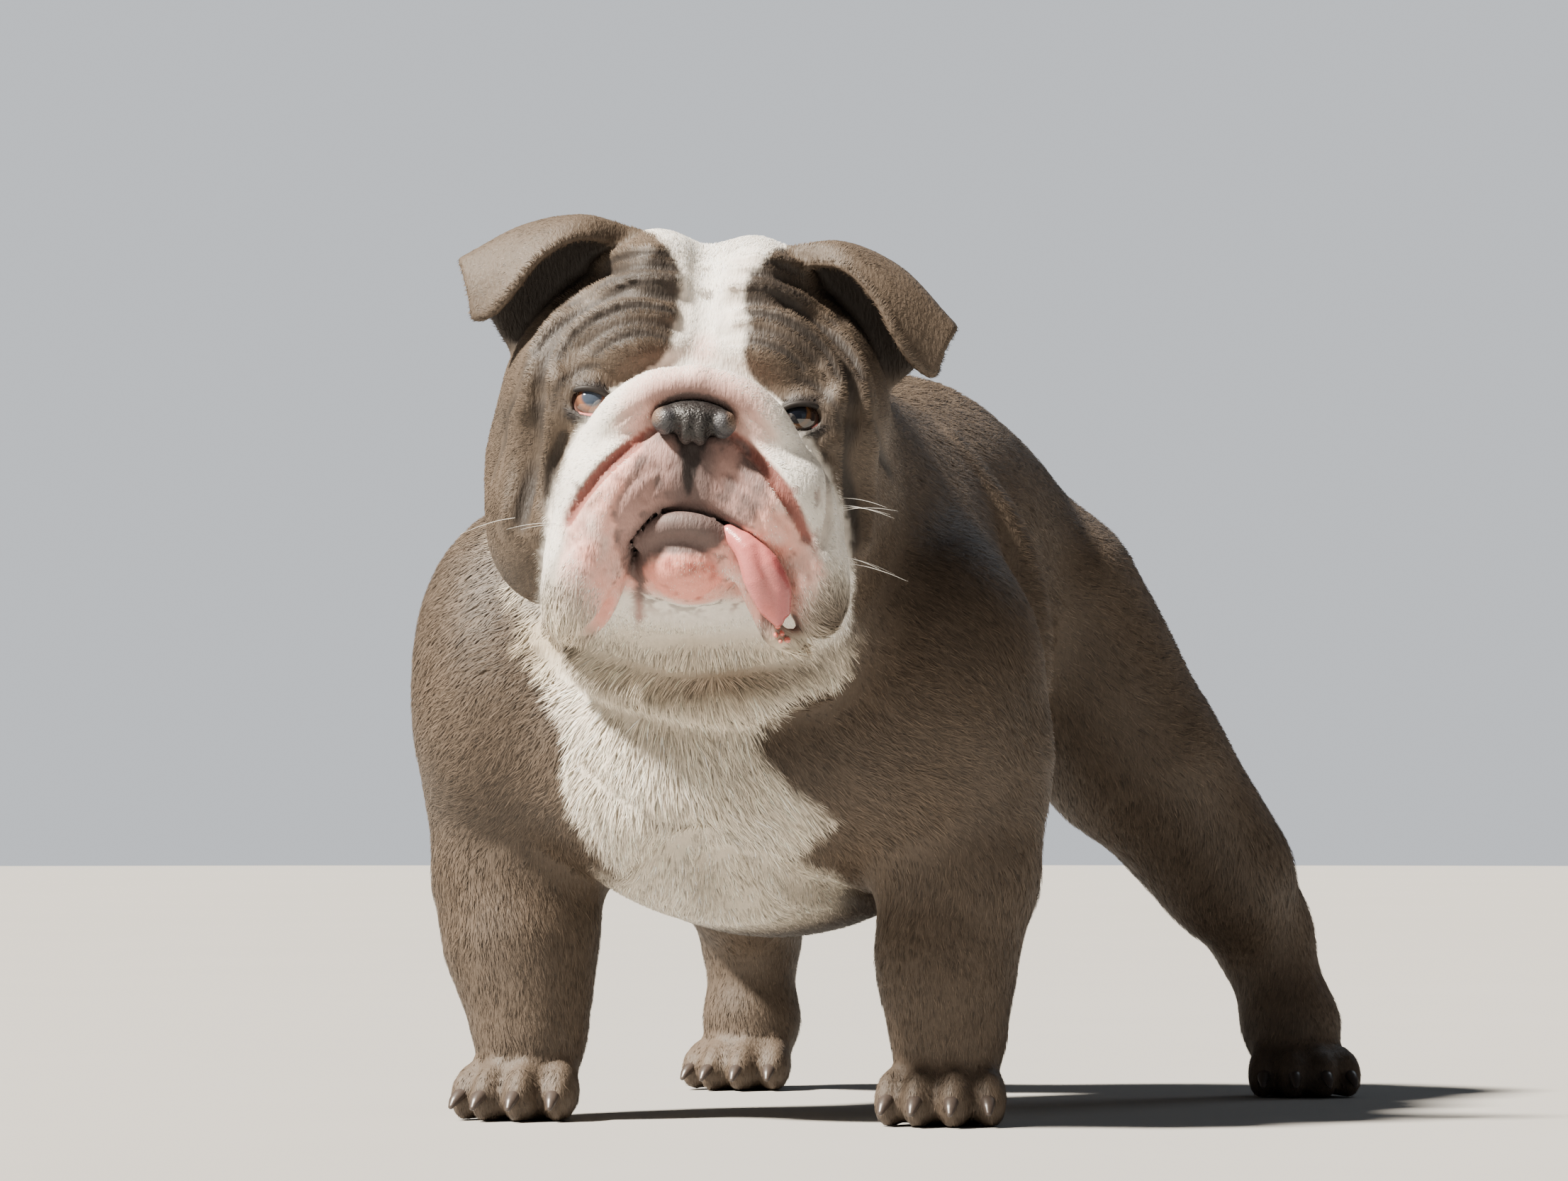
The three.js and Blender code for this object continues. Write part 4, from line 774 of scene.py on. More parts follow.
def neighbour_sum(values, faces, n):
    """Sum over the two neighbours each corner of a four-sided face has in it, and how many that makes."""
    total, count = np.zeros((n, 3)), np.zeros(n)
    for a, b in ((0, 1), (1, 2), (2, 3), (3, 0), (1, 0), (2, 1), (3, 2), (0, 3)):
        for c in range(3):
            total[:, c] += np.bincount(faces[:, a], values[faces[:, b], c], n)
        count += np.bincount(faces[:, a], minlength=n)
    return total, count


def point_normals(points, faces):
    """Mean normal of the four-sided faces around each point; a face's own is the cross product of its diagonals."""
    a, b, c, d = [points[faces[:, i]] for i in range(4)]
    normal = np.cross(c - a, d - b)
    total = np.stack([sum(np.bincount(faces[:, i], column, len(points)) for i in range(4))
                      for column in normal.T], 1)
    return total / np.maximum(np.linalg.norm(total, axis=1, keepdims=True), 1e-9)


LONGEST_PULL = 2


def evened(points, faces, field, rounds):
    """Each point is drawn half way to the middle of its neighbours, then put back on the surface of the field."""
    for _ in range(rounds):
        total, count = neighbour_sum(points, faces, len(points))
        points = 0.5 * points + 0.5 * total / count[:, None]
        away = np.clip(sampled(field, points), -LONGEST_PULL, LONGEST_PULL)
        points = points - away[:, None] * point_normals(points, faces)
    return points


skin_points, skin_faces = net(skin_field, (-330, -310, -470), (330, 640, 330), STEP)
skin_points = evened(skin_points, skin_faces, skin_field, 2)
print("skin:", len(skin_points), "points,", 2 * len(skin_faces), "triangles; box",
      skin_points.min(0).round(1), skin_points.max(0).round(1))

# %% [markdown]
# ## From numbers to objects
#
# The forms are in millimetres about a point of their own, and the model is in metres about its own middle. The left
# eye is in both, so its place gives the shift between them. Objects could be moved there, but a finished piece is
# best left where it is, with its place in its mesh. So the points themselves are shifted, and each mesh is filled
# from whole arrays at once, which is much quicker than point by point.

# %% Making objects
SHIFT = from_head(eye_at(1)) - 1000 * np.mean(np.array(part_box("eye_left"), float), axis=0)
FLESH = [name for name in nodes
         if not name.startswith("eye") and "claw" not in name and name not in ("nose", "tongue")]


def to_row(p):
    """Millimetres of the forms to metres of the model's own frame."""
    return (np.asarray(p, float) - SHIFT) / 1000


def mesh_object(name, points, faces, smooth=True):
    """A mesh object from points in metres and faces all of one size."""
    mesh = bpy.data.meshes.new(name)
    points, faces = np.ascontiguousarray(points, np.float32), np.ascontiguousarray(faces, np.int32)
    size = faces.shape[1]
    mesh.vertices.add(len(points))
    mesh.vertices.foreach_set("co", points.reshape(-1))
    mesh.loops.add(faces.size)
    mesh.loops.foreach_set("vertex_index", faces.reshape(-1))
    mesh.polygons.add(len(faces))
    mesh.polygons.foreach_set("loop_start", np.arange(0, faces.size, size, dtype=np.int32))
    mesh.update(calc_edges=True)
    mesh.polygons.foreach_set("use_smooth", np.full(len(faces), smooth))
    mesh.validate()
    obj = bpy.data.objects.new(name, mesh)
    bpy.context.scene.collection.objects.link(obj)
    return obj


def paint(obj, name, values):
    """Store one colour for each point of the mesh, as a colour attribute."""
    colour = obj.data.color_attributes.new(name, "FLOAT_COLOR", "POINT")
    rgba = np.ones((len(values), 4), np.float32)
    rgba[:, :values.shape[1]] = values
    colour.data.foreach_set("color", rgba.reshape(-1))


print("moved by", SHIFT.round(2), "flesh nodes:", len(FLESH))

# %% [markdown]
# ## Markings
#
# The coat is lilac grey with a white blaze, muzzle, throat and fore chest, and the skin of the muzzle shows pink
# where the hair is thin. All of this is one function of place, used by the skin and by every blade of hair, so that
# the two never disagree. The edges of the blaze are given by their distance from the midline at a few heights, and
# a soft noise frays them. A painted texture would need a flat unwrap of the whole dog and could not be reused on
# another pose.
# Shade is painted into these colours too: in the creases, around the eyes, in the ear hollows, on the belly, in the
# gaps of the mouth and partly on the throat.

# %% Colours of every place on the dog
GREY = np.array([0.084, 0.063, 0.047])
# Painted shade, laid into the creases, around the eyes, in the ear hollows and on the belly.
PAINTED_SHADE = np.array([0.026, 0.021, 0.019])
WHITE = np.array([0.840, 0.790, 0.720])
CREAM = np.array([0.560, 0.470, 0.340])
PINK = np.array([0.760, 0.300, 0.235])
MAUVE = np.array([0.105, 0.078, 0.074])
LILAC = np.array([0.340, 0.205, 0.180])
BLACK = np.array([0.012, 0.010, 0.010])
RED = np.array([0.280, 0.070, 0.055])
WARM = np.array([0.128, 0.087, 0.055])

# Limits of the markings, as rows: height, right limit, left limit. CHEST is in the body's frame, the rest in the
# head's. PIGMENT is the mauve skin around the nose, ROLL the part of the muzzle below the nose roll.
BLAZE = np.array([
    [-125, 0, 0], [-116, -60, 60], [-104, -71, 83], [-92, -73, 86], [-72, -73, 85], [-58, -71, 83], [-38, -67, 78],
    [-18, -62, 69], [-2, -56, 58], [12, -45, 45], [19, -32, 35], [26, -22, 26], [36, -15, 22], [50, -12, 24],
    [64, -10, 20], [78, -12, 22], [90, -20, 34], [98, -33, 45], [112, -36, 47], [135, -30, 40],
])
CHEST = np.array([
    [86, -20, 20], [103, -36, 40], [128, -44, 59], [140, -56, 50], [160, -66, 66], [185, -73, 40], [200, -63, 34],
    [215, -72, 48], [235, -86, 80], [250, -94, 84], [262, -98, 84], [281, -105, 66], [302, -115, 50],
    [320, -121, 44], [350, -121, 36],
])
PIGMENT = np.array([
    [-84, -24, -20], [-78, -31, 0], [-70, -35, 6], [-60, -37, 20], [-50, -37, 33], [-42, -36, 39], [-34, -31, 41],
    [-26, -29, 38], [-19, -26, 32], [-12, -25, 29], [-6, -21, 22], [20, -20, 20],
])
ROLL = np.array([
    [-100, -66, 78], [-72, -64, 74], [-60, -62, 66], [-50, -60, 60], [-40, -54, 54], [-30, -45, 48], [-20, -35, 38],
    [-12, -26, 28], [-4, -20, 22], [10, -20, 22],
])
# Dark lines along the lips: partly the lips' own dark rims, partly painted shade in the mouth's gap beside the chin
# and under the right flew's lower edge.
LIP_EDGES_AND_GAP_SHADE = [
    rope([[-6, -93, -47, 1.4], [-13, -90, -56, 2.2], [-20, -88, -66, 2.6], [-26, -86, -76, 2.8], [-31, -84, -90, 2.8],
          [-36, -80, -99, 2.2]], 1),
    rope([[-42, -80, -113, 1.0], [-56, -76, -118, 1.6], [-70, -68, -112, 1.2]], 1),
    rope([[-6, -93, -47, 1.4], [4, -94, -46, 1.4], [16, -92, -50, 1.6], [30, -90, -58, 1.4]], 1),
]


def noise(p, size, seed=0):
    """Smooth value noise between -1 and 1: random numbers at the corners of cubes of a size, blended over each
    cube by t t (3 - 2 t) along its three sides."""
    q = np.asarray(p) / size + 100.5 + 17 * seed
    i = np.floor(q).astype(np.int64)
    t = q - i
    t = t * t * (3 - 2 * t)
    total = 0
    for corner in range(8):
        c = np.array([corner & 1, corner >> 1 & 1, corner >> 2 & 1])
        key = ((i + c) * (73856093, 19349663, 83492791)).sum(1) + 2654435761 * (seed + 1)
        key = (key ^ (key >> 13)) * 1274126177 & 0xFFFFFFFF
        key = (key ^ (key >> 16)) & 0xFFFF
        total = total + np.prod(np.where(c, t, 1 - t), axis=1) * (key / 32767.5 - 1)
    return total


def clouds(p, size, seed=0):
    """Three layers of noise, each half as large and half as strong as the one before."""
    return (noise(p, size, seed) + noise(p, size / 2, seed + 1) / 2 + noise(p, size / 4, seed + 2) / 4) / 1.75


def between(value, table, z):
    """How far a value lies inside the two limits that a table gives for a height, in millimetres."""
    low, high = np.interp(z, table[:, 0], table[:, 1]), np.interp(z, table[:, 0], table[:, 2])
    return np.minimum(value - low, high - value)


def oval(p, centre, scale):
    """Distance from a centre, with each axis shrunk by its own scale."""
    return np.linalg.norm((p - centre) / scale, axis=1)


def nearest(forms, p):
    """Least of the forms' distances at each place."""
    return np.min([form.distance(p) for form in forms], axis=0)


def unit(v):
    return v / np.maximum(np.linalg.norm(v, axis=-1, keepdims=True), 1e-9)


def mixed(a, b, t):
    return a + (b - a) * t[:, None]


def in_folds(h, forms, far):
    """How deep in a crease of the face a place lies, 1 at its bottom and 0 from a distance up its sides."""
    deep = np.zeros(len(h))
    for form in forms:
        pick = np.flatnonzero(np.linalg.norm(h - form.centre, axis=1) - form.reach < far)
        if len(pick):
            deep[pick] = np.maximum(deep[pick], fade(-form.distance(h[pick]), -far, 0.3))
    return deep


def lip_corner(h):
    """The black wet corner of the lips where the tongue hangs: 1 inside it, up to the inner edge of the flew."""
    x, y, z = h.T
    flew_edge = np.interp(-z, [90, 107], [56, 65])
    between_lips = fade(x, 38, 42) * fade(flew_edge - x, -1.5, 1.5)
    return fade(-z, 91, 96) * fade(z, -117, -112) * between_lips * fade(-y, 60, 66)


def masks(p):
    """For places on the dog: how white, how pink, how dark with pigment, how red and how black each is, 0 to 1.
    The black is partly painted shade in the gaps of the mouth, and further masks say where shade is painted:
    around the eyes and in the creases.
    """
    h = to_head(p)
    x, y, z = h.T
    on_head = fade(-oval(h, (0, 10, -5), (1.15, 1.35, 1.2)), -118, -104)
    fray = 3.0 * clouds(p, 16, 3) + 1.5 * noise(p, 3.5, 8)
    front = fade(-y, -34, -10)
    patches = np.minimum(oval(h, (0, -70, 78.5), (2.2, 9, 1)), oval(h, (0, -70, 65), (1.3, 9, 1)))
    white = fade(between(x, BLAZE, z) + fray, -2.5, 2.5) * on_head * front * fade(patches + 0.6 * fray, 3.5, 5.5)
    throat = fade(-z, 100, 114) * on_head * fade(-y, -40, -10)
    chest = fade(between(p[:, 0], CHEST, p[:, 2]) + 2.2 * fray, -5, 5)
    chest *= fade(-p[:, 1], -52, -22) * fade(p[:, 2], 96, 112) * fade(-p[:, 2], -352, -330) * (1 - on_head)
    underside = fade(-p[:, 2] - 1.5 * fray, -138, -122) * fade(-np.abs(p[:, 0] + 4) + fray, -70, -52)
    underside *= fade(-p[:, 1], -60, -10) * fade(p[:, 2], 92, 104)
    white = np.maximum.reduce([white, chest, throat, underside])
    nose = np.maximum(nose_field(h), 0)
    muzzle = on_head * fade(-y, 18, 44)
    low_fray = 3.2 * clouds(h, 9, 13) + 1.2 * noise(h, 2.2, 14)
    pigment = fade(between(x, PIGMENT, z) + low_fray, -1.5, 1.5) * muzzle * fade(-z, 5, 10)
    pigment = np.maximum(pigment, fade(-nose + 0.5 * low_fray, -3.5, -0.5) * muzzle)
    pigment = np.maximum(pigment, 0.55 * fade(-nose + low_fray, -13, -4) * muzzle * fade(z, 2, 8))
    speckle = fade(clouds(h, 7, 17) + 0.4 * noise(h, 2, 18), 0.24, 0.42) * fade(-z, 20, 34) * fade(z, -104, -88)
    pigment = np.maximum(pigment, 0.6 * speckle * muzzle * fade(-np.abs(x - 4), -66, -58))
    inside = fade(between(x, ROLL, z), -1, 5) * fade(-z, 4, 10)
    pink = muzzle * inside * np.clip(0.62 + 0.5 * clouds(h, 11, 5), 0.15, 1)
    pink = np.maximum(pink, 0.45 * muzzle * fade(-nose + low_fray, -26, -8))
    brow_pink = 0.5 * on_head * fade(-oval(h, (2, -80, 38), (0.8, 3, 1)), -16, -6)
    chin = muzzle * fade(-oval(h, (0, -84, -80), (1.55, 2.4, 1)) + 0.6 * low_fray, -15, -11)
    lip = muzzle * fade(-oval(h, (0, -86, -57), (1.75, 2.4, 1)) + 0.5 * low_fray, -13.5, -10)
    pink = np.maximum.reduce([pink, chin, brow_pink]) * (1 - fade(-z, 84, 92) * fade(y, -66, -58))
    pigment = np.maximum(pigment * (1 - chin), 0.95 * lip)
    red = 0.5 * muzzle * fade(-np.abs(between(x, ROLL, z) - 0.5), -4.5, -0.5) * fade(-z, 4, 9) * fade(z, -72, -50)
    red = np.maximum(red, 0.8 * chin * fade(clouds(h, 6, 19), 0.1, 0.6))
    black = muzzle * lip_corner(h)
    wedge = np.abs(x + 0.5) - np.interp(z, [-42, -32, -12], [0.4, 2.2, 7.5])
    philtrum = fade(-wedge + 0.4 * low_fray, -1.5, 0.8)
    black = np.maximum(black, 0.85 * muzzle * philtrum * fade(z, -43, -36) * fade(-z, 5, 11))
    edge = nearest(LIP_EDGES_AND_GAP_SHADE, h)
    # Black along the lip lines: partly the lips' own dark rims, partly painted shade in the gaps of the mouth.
    black = np.maximum(black, muzzle * fade(-edge, -1.2, 0.6) * fade(jaw_field(h), -0.2, 1.2))
    lids = nearest(rims, h)
    # Painted shade on the skin around the eyes.
    dusk = on_head * fade(-lids, -6.0, 0.5)
    black = np.maximum(black, on_head * fade(-lids, -1.2, 0.2))
    # How deep in the creases of the face: used for painted shade in the creases, and for shorter hair there.
    fold = on_head * in_folds(h, creases + wrinkles, 2.4)
    sore = muzzle * in_folds(h, [creases[i] for i in UNDER_ROLL], 1.0)
    smoke = fade(-np.abs(x - 1), -17, -6) * fade(z, -58, -44)
    smoke = np.maximum.reduce([smoke, fade(-jaw_field(h), -9, -1), fade(-nose, -7, -1), fade(-edge, -7, -2),
                               0.85 * fade(clouds(h, 6, 23), -0.15, 0.35), lip])
    return dict(white=white, pink=np.clip(pink, 0, 1), pigment=np.clip(pigment, 0, 1), on_head=on_head,
                muzzle=muzzle, red=red, black=np.clip(black, 0, 1), dusk=dusk, fold=fold, sore=sore, smoke=smoke)


def coat_colour(p):
    """Colour of the hair at places on the dog, with painted shade in the creases, around the eyes, in the ear
    hollows, on the belly and in the mouth's gaps, and a cream on the throat that is partly painted shade and
    bounced light.
    """
    m = masks(p)
    x, y, z = p.T
    h = to_head(p)
    shade = 0.5 + 0.5 * clouds(p, 60, 11)
    coat = mixed(GREY * 0.90, GREY * 1.14, shade)
    coat = mixed(coat, WARM, 0.35 * (0.5 + 0.5 * clouds(p, 34, 12)))
    # Painted shade on the belly under the trunk, behind the fore chest.
    coat = mixed(coat, PAINTED_SHADE * 1.3, 0.6 * fade(-z, -135, -110) * fade(y, 20, 90) * fade(-np.abs(x + 5), -70, -50))
    # Painted shade in the hollow at the foot of each ear.
    ear_hollow_shade = m["on_head"] * fade(np.abs(h[:, 0]), 44, 60) * fade(-np.abs(h[:, 1] - 8), -18, -8)
    ear_hollow_shade *= fade(h[:, 2], 24, 40)
    coat = mixed(coat, PAINTED_SHADE * 0.7, 0.85 * ear_hollow_shade)
    # Painted shade around the eyes.
    coat = mixed(coat, PAINTED_SHADE, 0.6 * m["dusk"])
    # Painted shade in the creases of the face.
    coat = mixed(coat, PAINTED_SHADE * 0.7, 0.85 * m["fold"])
    # Cream on the white: on the chest the coat's own tint; growing toward the throat, partly painted shade and light
    # bounced up from below.
    cream_and_bounce = (0.55 + 0.30 * fade(z, 205, 250)) * (1 - m["on_head"]) + 0.7 * m["on_head"] * fade(-h[:, 2], 96, 112)
    pale = mixed(WHITE, CREAM, np.clip(cream_and_bounce * (1 + 0.4 * clouds(p, 40, 4)), 0, 1))
    hair = mixed(coat, pale, m["white"])
    hair = mixed(hair, mixed(WHITE, PINK, np.full(len(p), 0.42)), 0.85 * m["pink"] * m["white"])
    # Painted shade in the creases of the white coat.
    hair = mixed(hair, hair * (0.72, 0.64, 0.60), 0.45 * m["fold"] * m["white"])
    hair = mixed(hair, PINK * 0.8, 0.5 * np.maximum(m["red"], m["sore"]) * m["white"])
    hair = mixed(hair, mixed(LILAC * 1.15, MAUVE * 1.5, m["smoke"]), 0.85 * m["pigment"] * m["white"])
    return mixed(hair, BLACK * 2, 0.8 * m["black"])


def skin_colour(p):
    """Colour of the skin: as the hair over it, but pink, red, mauve or black where the muzzle's hair is thin."""
    m = masks(p)
    colour = coat_colour(p) * 0.9
    colour = mixed(colour, PINK, m["pink"] * m["white"])
    colour = mixed(colour, RED, 0.9 * m["red"])
    colour = mixed(colour, RED * 0.6, 0.9 * m["sore"] * m["white"])
    colour = mixed(colour, mixed(LILAC, MAUVE, m["smoke"]), 0.95 * m["pigment"])
    return mixed(colour, BLACK, m["black"])


# %% Skin object
skin = mesh_object("skin", to_row(skin_points), skin_faces)
paint(skin, "Tint", skin_colour(skin_points))
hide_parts(*FLESH)
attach(skin, "root")
print("skin object:", len(skin.data.polygons), "faces")

# %% [markdown]
# ## Eyes
#
# Each eye is one turned surface: a ball with the cornea standing a little out of it, thin where the rings of the
# iris need points. Its colours are rings around the way it looks: pupil, iris, a dark edge, then the white with
# pink toward the corners. The right eye has a clouded pupil, as in the photo. The left eye's iris and white are
# much darker, as painted shade. A picture of an iris mapped on a ball would be shorter, but the rings as
# numbers stay sharp, and the two eyes differ only in their numbers.

# %% Eyeballs
def ring_faces(rings, around, ends=2):
    """Triangles between rings of points, each ring joined to the next, and the first ring and the last closed by
    the points that follow the rings. With one end, only the first ring is closed."""
    i, j = np.meshgrid(np.arange(rings - 1), np.arange(around), indexing="ij")
    a, b = (i * around + j).reshape(-1), (i * around + (j + 1) % around).reshape(-1)
    j = np.arange(around)
    after, last, first_end = (j + 1) % around, (rings - 1) * around, rings * around
    faces = [np.stack([a, a + around, b + around], 1), np.stack([a, b + around, b], 1),
             np.stack([np.full(around, first_end), j, after], 1)]
    if ends == 2:
        faces.append(np.stack([np.full(around, first_end + 1), last + after, last + j], 1))
    return np.concatenate(faces)


def turned_ball(centre, axis, radius_of, rings=56, around=96):
    """Surface turned about an axis: at angle a from the axis its distance from the centre is radius_of(a)."""
    axis = unit(np.asarray(axis, float))
    u = unit(np.cross(axis, (0, 0, 1.0)))
    v = np.cross(axis, u)
    a = np.pi * np.linspace(0, 1, rings + 1)[1:-1] ** 1.6
    b = 2 * np.pi * np.arange(around) / around
    grid_a, grid_b = np.meshgrid(a, b, indexing="ij")
    ring = (np.sin(grid_a) * np.cos(grid_b))[..., None] * u + (np.sin(grid_a) * np.sin(grid_b))[..., None] * v
    points = centre + radius_of(grid_a)[..., None] * (ring + np.cos(grid_a)[..., None] * axis)
    ends = centre + np.array([radius_of(np.array(0.0)) * axis, -radius_of(np.array(np.pi)) * axis])
    points = np.vstack([points.reshape(-1, 3), ends])
    angles = np.concatenate([grid_a.reshape(-1), [0, np.pi]])
    turns = np.concatenate([grid_b.reshape(-1), [0, 0]])
    return points, ring_faces(len(a), around), angles, turns


CORNEA_ANGLE = np.radians(40)
CORNEA_HEIGHT = 0.9
EYE_UNDER = 0.15
IRIS_DARKENS, WHITE_BEGINS, RED_BEGINS = (6.2, 8.4), (8.8, 9.8), (9.5, 11.8)


def eyeball(side, gaze, pupil, pupil_size, pupil_soft, iris, iris_edge, white):
    """One eye. Rings by angle a from the gaze, as lengths across the ball r = R sin a: pupil, iris, edge, white."""
    def radius_of(a):
        return EYE_RADIUS - EYE_UNDER + CORNEA_HEIGHT * np.maximum(0, 1 - (a / CORNEA_ANGLE) ** 2)

    centre = eye_at(side)
    points, faces, a, turn = turned_ball(centre, gaze, radius_of)
    across = EYE_RADIUS * np.sin(np.minimum(a, np.pi / 2))
    rays = 0.75 + 0.25 * np.sin(23 * turn + 2 * np.sin(7 * turn)) * np.sin(9 * turn + 1)
    colour = np.broadcast_to(np.array(iris), points.shape) * (0.7 + 0.5 * rays[:, None])
    colour = mixed(colour, np.array(iris_edge), fade(across, *IRIS_DARKENS))
    colour = mixed(colour, np.array(white) * (0.9 + 0.1 * noise(points, 3, 9))[:, None], fade(across, *WHITE_BEGINS))
    colour = mixed(colour, RED, 0.35 * fade(across, *RED_BEGINS))
    cloud = np.array(pupil) * (1 + 0.35 * clouds(points, 5, 21))[:, None]
    colour = mixed(colour, cloud, 1 - fade(across, pupil_size - pupil_soft, pupil_size + pupil_soft))
    name = "eye_left_ball" if side > 0 else "eye_right_ball"
    obj = mesh_object(name, to_row(from_head(points)), faces)
    paint(obj, "Tint", np.clip(colour, 0.002, 0.95))
    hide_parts("eye_left" if side > 0 else "eye_right")
    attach(obj, "root")
    return obj


# The left eye is coloured much darker than the right: painted shade.
EYES = {
    1: dict(gaze=(-0.16, -0.95, 0.28), pupil=(0.004, 0.005, 0.008), pupil_size=5.4, pupil_soft=0.35,
            iris=(0.085, 0.038, 0.013), iris_edge=(0.02, 0.012, 0.009), white=(0.07, 0.045, 0.036)),
    -1: dict(gaze=(0.02, -0.93, 0.38), pupil=(0.045, 0.058, 0.082), pupil_size=5.2, pupil_soft=0.9,
             iris=(0.20, 0.085, 0.045), iris_edge=(0.07, 0.035, 0.025), white=(0.24, 0.13, 0.11)),
}
eyes = [eyeball(side, **EYES[side]) for side in (1, -1)]
print("eyes:", [len(eye.data.polygons) for eye in eyes], "faces")

# %% [markdown]
# ## Nose leather, tongue and the small wet parts
#
# The nose and the tongue are fields too, so their wings, nostrils and folds run into each other as flesh does. They
# are meshed with small even cells in the head's own frame. The pink inner lids, the beads of skin in the corner of
# the lip, the claws and the whiskers are swept shapes: a ring of points carried along a curve and drawn in to a
# point at its end.

# %% Nose and tongue
def small_piece(name, field, low, high, step, colour_of, node):
    """A piece from a field of the head's own frame, in even cells, with its colours."""
    points, faces = net(field, low, high, step, place=np.asarray)
    points = evened(points, faces, field, 2)
    obj = mesh_object(name, to_row(from_head(points)), faces)
    paint(obj, "Tint", np.clip(colour_of(points), 0.002, 0.95))
    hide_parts(node)
    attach(obj, "root")
    return obj


def nose_skin(h):
    """The leather, with low pebbles of noise on all but its underside."""
    pebbles = 0.16 * noise(h, 1.6, 61) * fade(h[:, 2], -8, -2)
    return nose_base(h) + pebbles


def nose_colour(h):
    x, y, z = h.T
    pad = np.array([0.012, 0.010, 0.010]) * (1 + 0.5 * noise(h, 1.5, 62))[:, None]
    wing = np.array([0.046, 0.046, 0.051]) * (1 + 0.15 * clouds(h, 4, 63))[:, None]
    on_wing = fade(np.abs(x), 9, 11.5) * fade(-z, -6, -1) * fade(-y, 86, 93)
    colour = mixed(pad, wing, on_wing)
    rust = fade(np.abs(x), 15, 19) * fade(z, -6, 0)
    colour = mixed(colour, np.array([0.16, 0.10, 0.065]), 0.7 * rust)
    philtrum = fade(-z, 8, 13)
    colour = mixed(colour, MAUVE * 0.45, 0.7 * philtrum)
    # Near black in the nostrils and their slits: painted shade inside the openings.
    nostril_shade = fade(-np.hypot((np.abs(x) - 8.6) / 1.1, (z + 9.5) / 1.25), -4.2, -2.6)
    slit = fade(-np.abs(np.abs(x) - 7.6 + 0.12 * z), -1.6, -0.5) * fade(-z, -2, 3) * fade(z, -12, -8)
    return mixed(colour, BLACK * 0.4, np.maximum(nostril_shade, slit))


def tongue_skin(h):
    groove = rope([[40, -98, -62, 1.0], [44, -99, -72, 1.6], [47.5, -96, -84, 1.8], [49, -91, -96, 1.2]], 2)
    return carve(tongue_field(h) + 0.2, groove.distance(h), 2.2)


def tongue_colour(h):
    x, z = h[:, 0], h[:, 2]
    fold = x - np.interp(-z, [60, 70, 82, 96], [39, 44, 47, 49])
    base = np.array([0.56, 0.165, 0.155])
    colour = np.broadcast_to(base, h.shape) * (1 + 0.10 * clouds(h, 3, 71))[:, None]
    # Darker beyond the groove, on the half toward the lip corner: painted shade.
    colour = mixed(colour, np.array([0.33, 0.075, 0.08]), 0.8 * fade(fold, -2, 2.5))
    return mixed(colour, np.array([0.55, 0.12, 0.10]), 0.6 * fade(-z, 86, 96) * fade(-fold, -1, 3))


nose = small_piece("nose_leather", nose_skin, (-27, -110, -22), (27, -62, 20), 0.9, nose_colour, "nose")
tongue = small_piece("tongue_flesh", tongue_skin, (8, -106, -112), (64, -70, -44), 1.1, tongue_colour, "tongue")
print("nose and tongue:", len(nose.data.polygons), len(tongue.data.polygons), "faces")

# %% Swept pieces: inner lids, beads in the lip, claws, whiskers
def swept(points, radii, around=10, flat=1.0, steps=4, hint=(0, -1, 0)):
    """Tube along a smooth curve. At each place a ring centre + r (cos b u + flat sin b v), with u and v square to
    the curve, and a point at both ends."""
    points, radii = np.asarray(points, float), np.asarray(radii, float)
    s = np.linspace(0, 1, (len(points) - 1) * steps + 1)
    path = curve_points(points, s)
    r = np.interp(s, np.linspace(0, 1, len(points)), radii)
    along = unit(np.gradient(path, axis=0))
    u = unit(np.cross(along, hint))
    v = np.cross(along, u)
    b = 2 * np.pi * np.arange(around) / around
    ring = np.cos(b)[None, :, None] * u[:, None] + flat * np.sin(b)[None, :, None] * v[:, None]
    body = (path[:, None] + r[:, None, None] * ring).reshape(-1, 3)
    body = np.vstack([body, path[0] - along[0] * r[0] * 0.6, path[-1] + along[-1] * r[-1] * 0.6])
    return body, ring_faces(len(path), around)[:, ::-1]


def outward(points, faces):
    """The same faces, turned over if the volume they enclose comes out negative."""
    a, b, c = points[faces[:, 0]], points[faces[:, 1]], points[faces[:, 2]]
    return faces if (a * np.cross(b, c)).sum() > 0 else faces[:, ::-1]


def gathered(parts):
    """Several point and face lists as one."""
    points, faces, count = [], [], 0
    for p, f in parts:
        points.append(p)
        faces.append(outward(p - p.mean(0), f) + count)
        count += len(p)
    return np.vstack(points), np.concatenate(faces)


def plain_piece(name, parts):
    """One piece of several parts, each a pair of points in millimetres and faces."""
    points, faces = gathered(parts)
    obj = mesh_object(name, to_row(points), faces)
    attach(obj, "root")
    return obj


right_haw = lid_line(-1, 10.6, 6.6, 0.4, 300, 175, 7)
left_haw = lid_line(1, 10.6, 6.4, 0.4, 300, 352, 6)
haws = plain_piece("inner_lids", [
    swept(from_head(right_haw), [0.4, 1.1, 1.6, 2.0, 2.1, 1.7, 0.6], 10, 0.8),
    swept(from_head(left_haw), [0.4, 0.7, 0.9, 1.0, 0.8, 0.4], 8, 0.8),
])

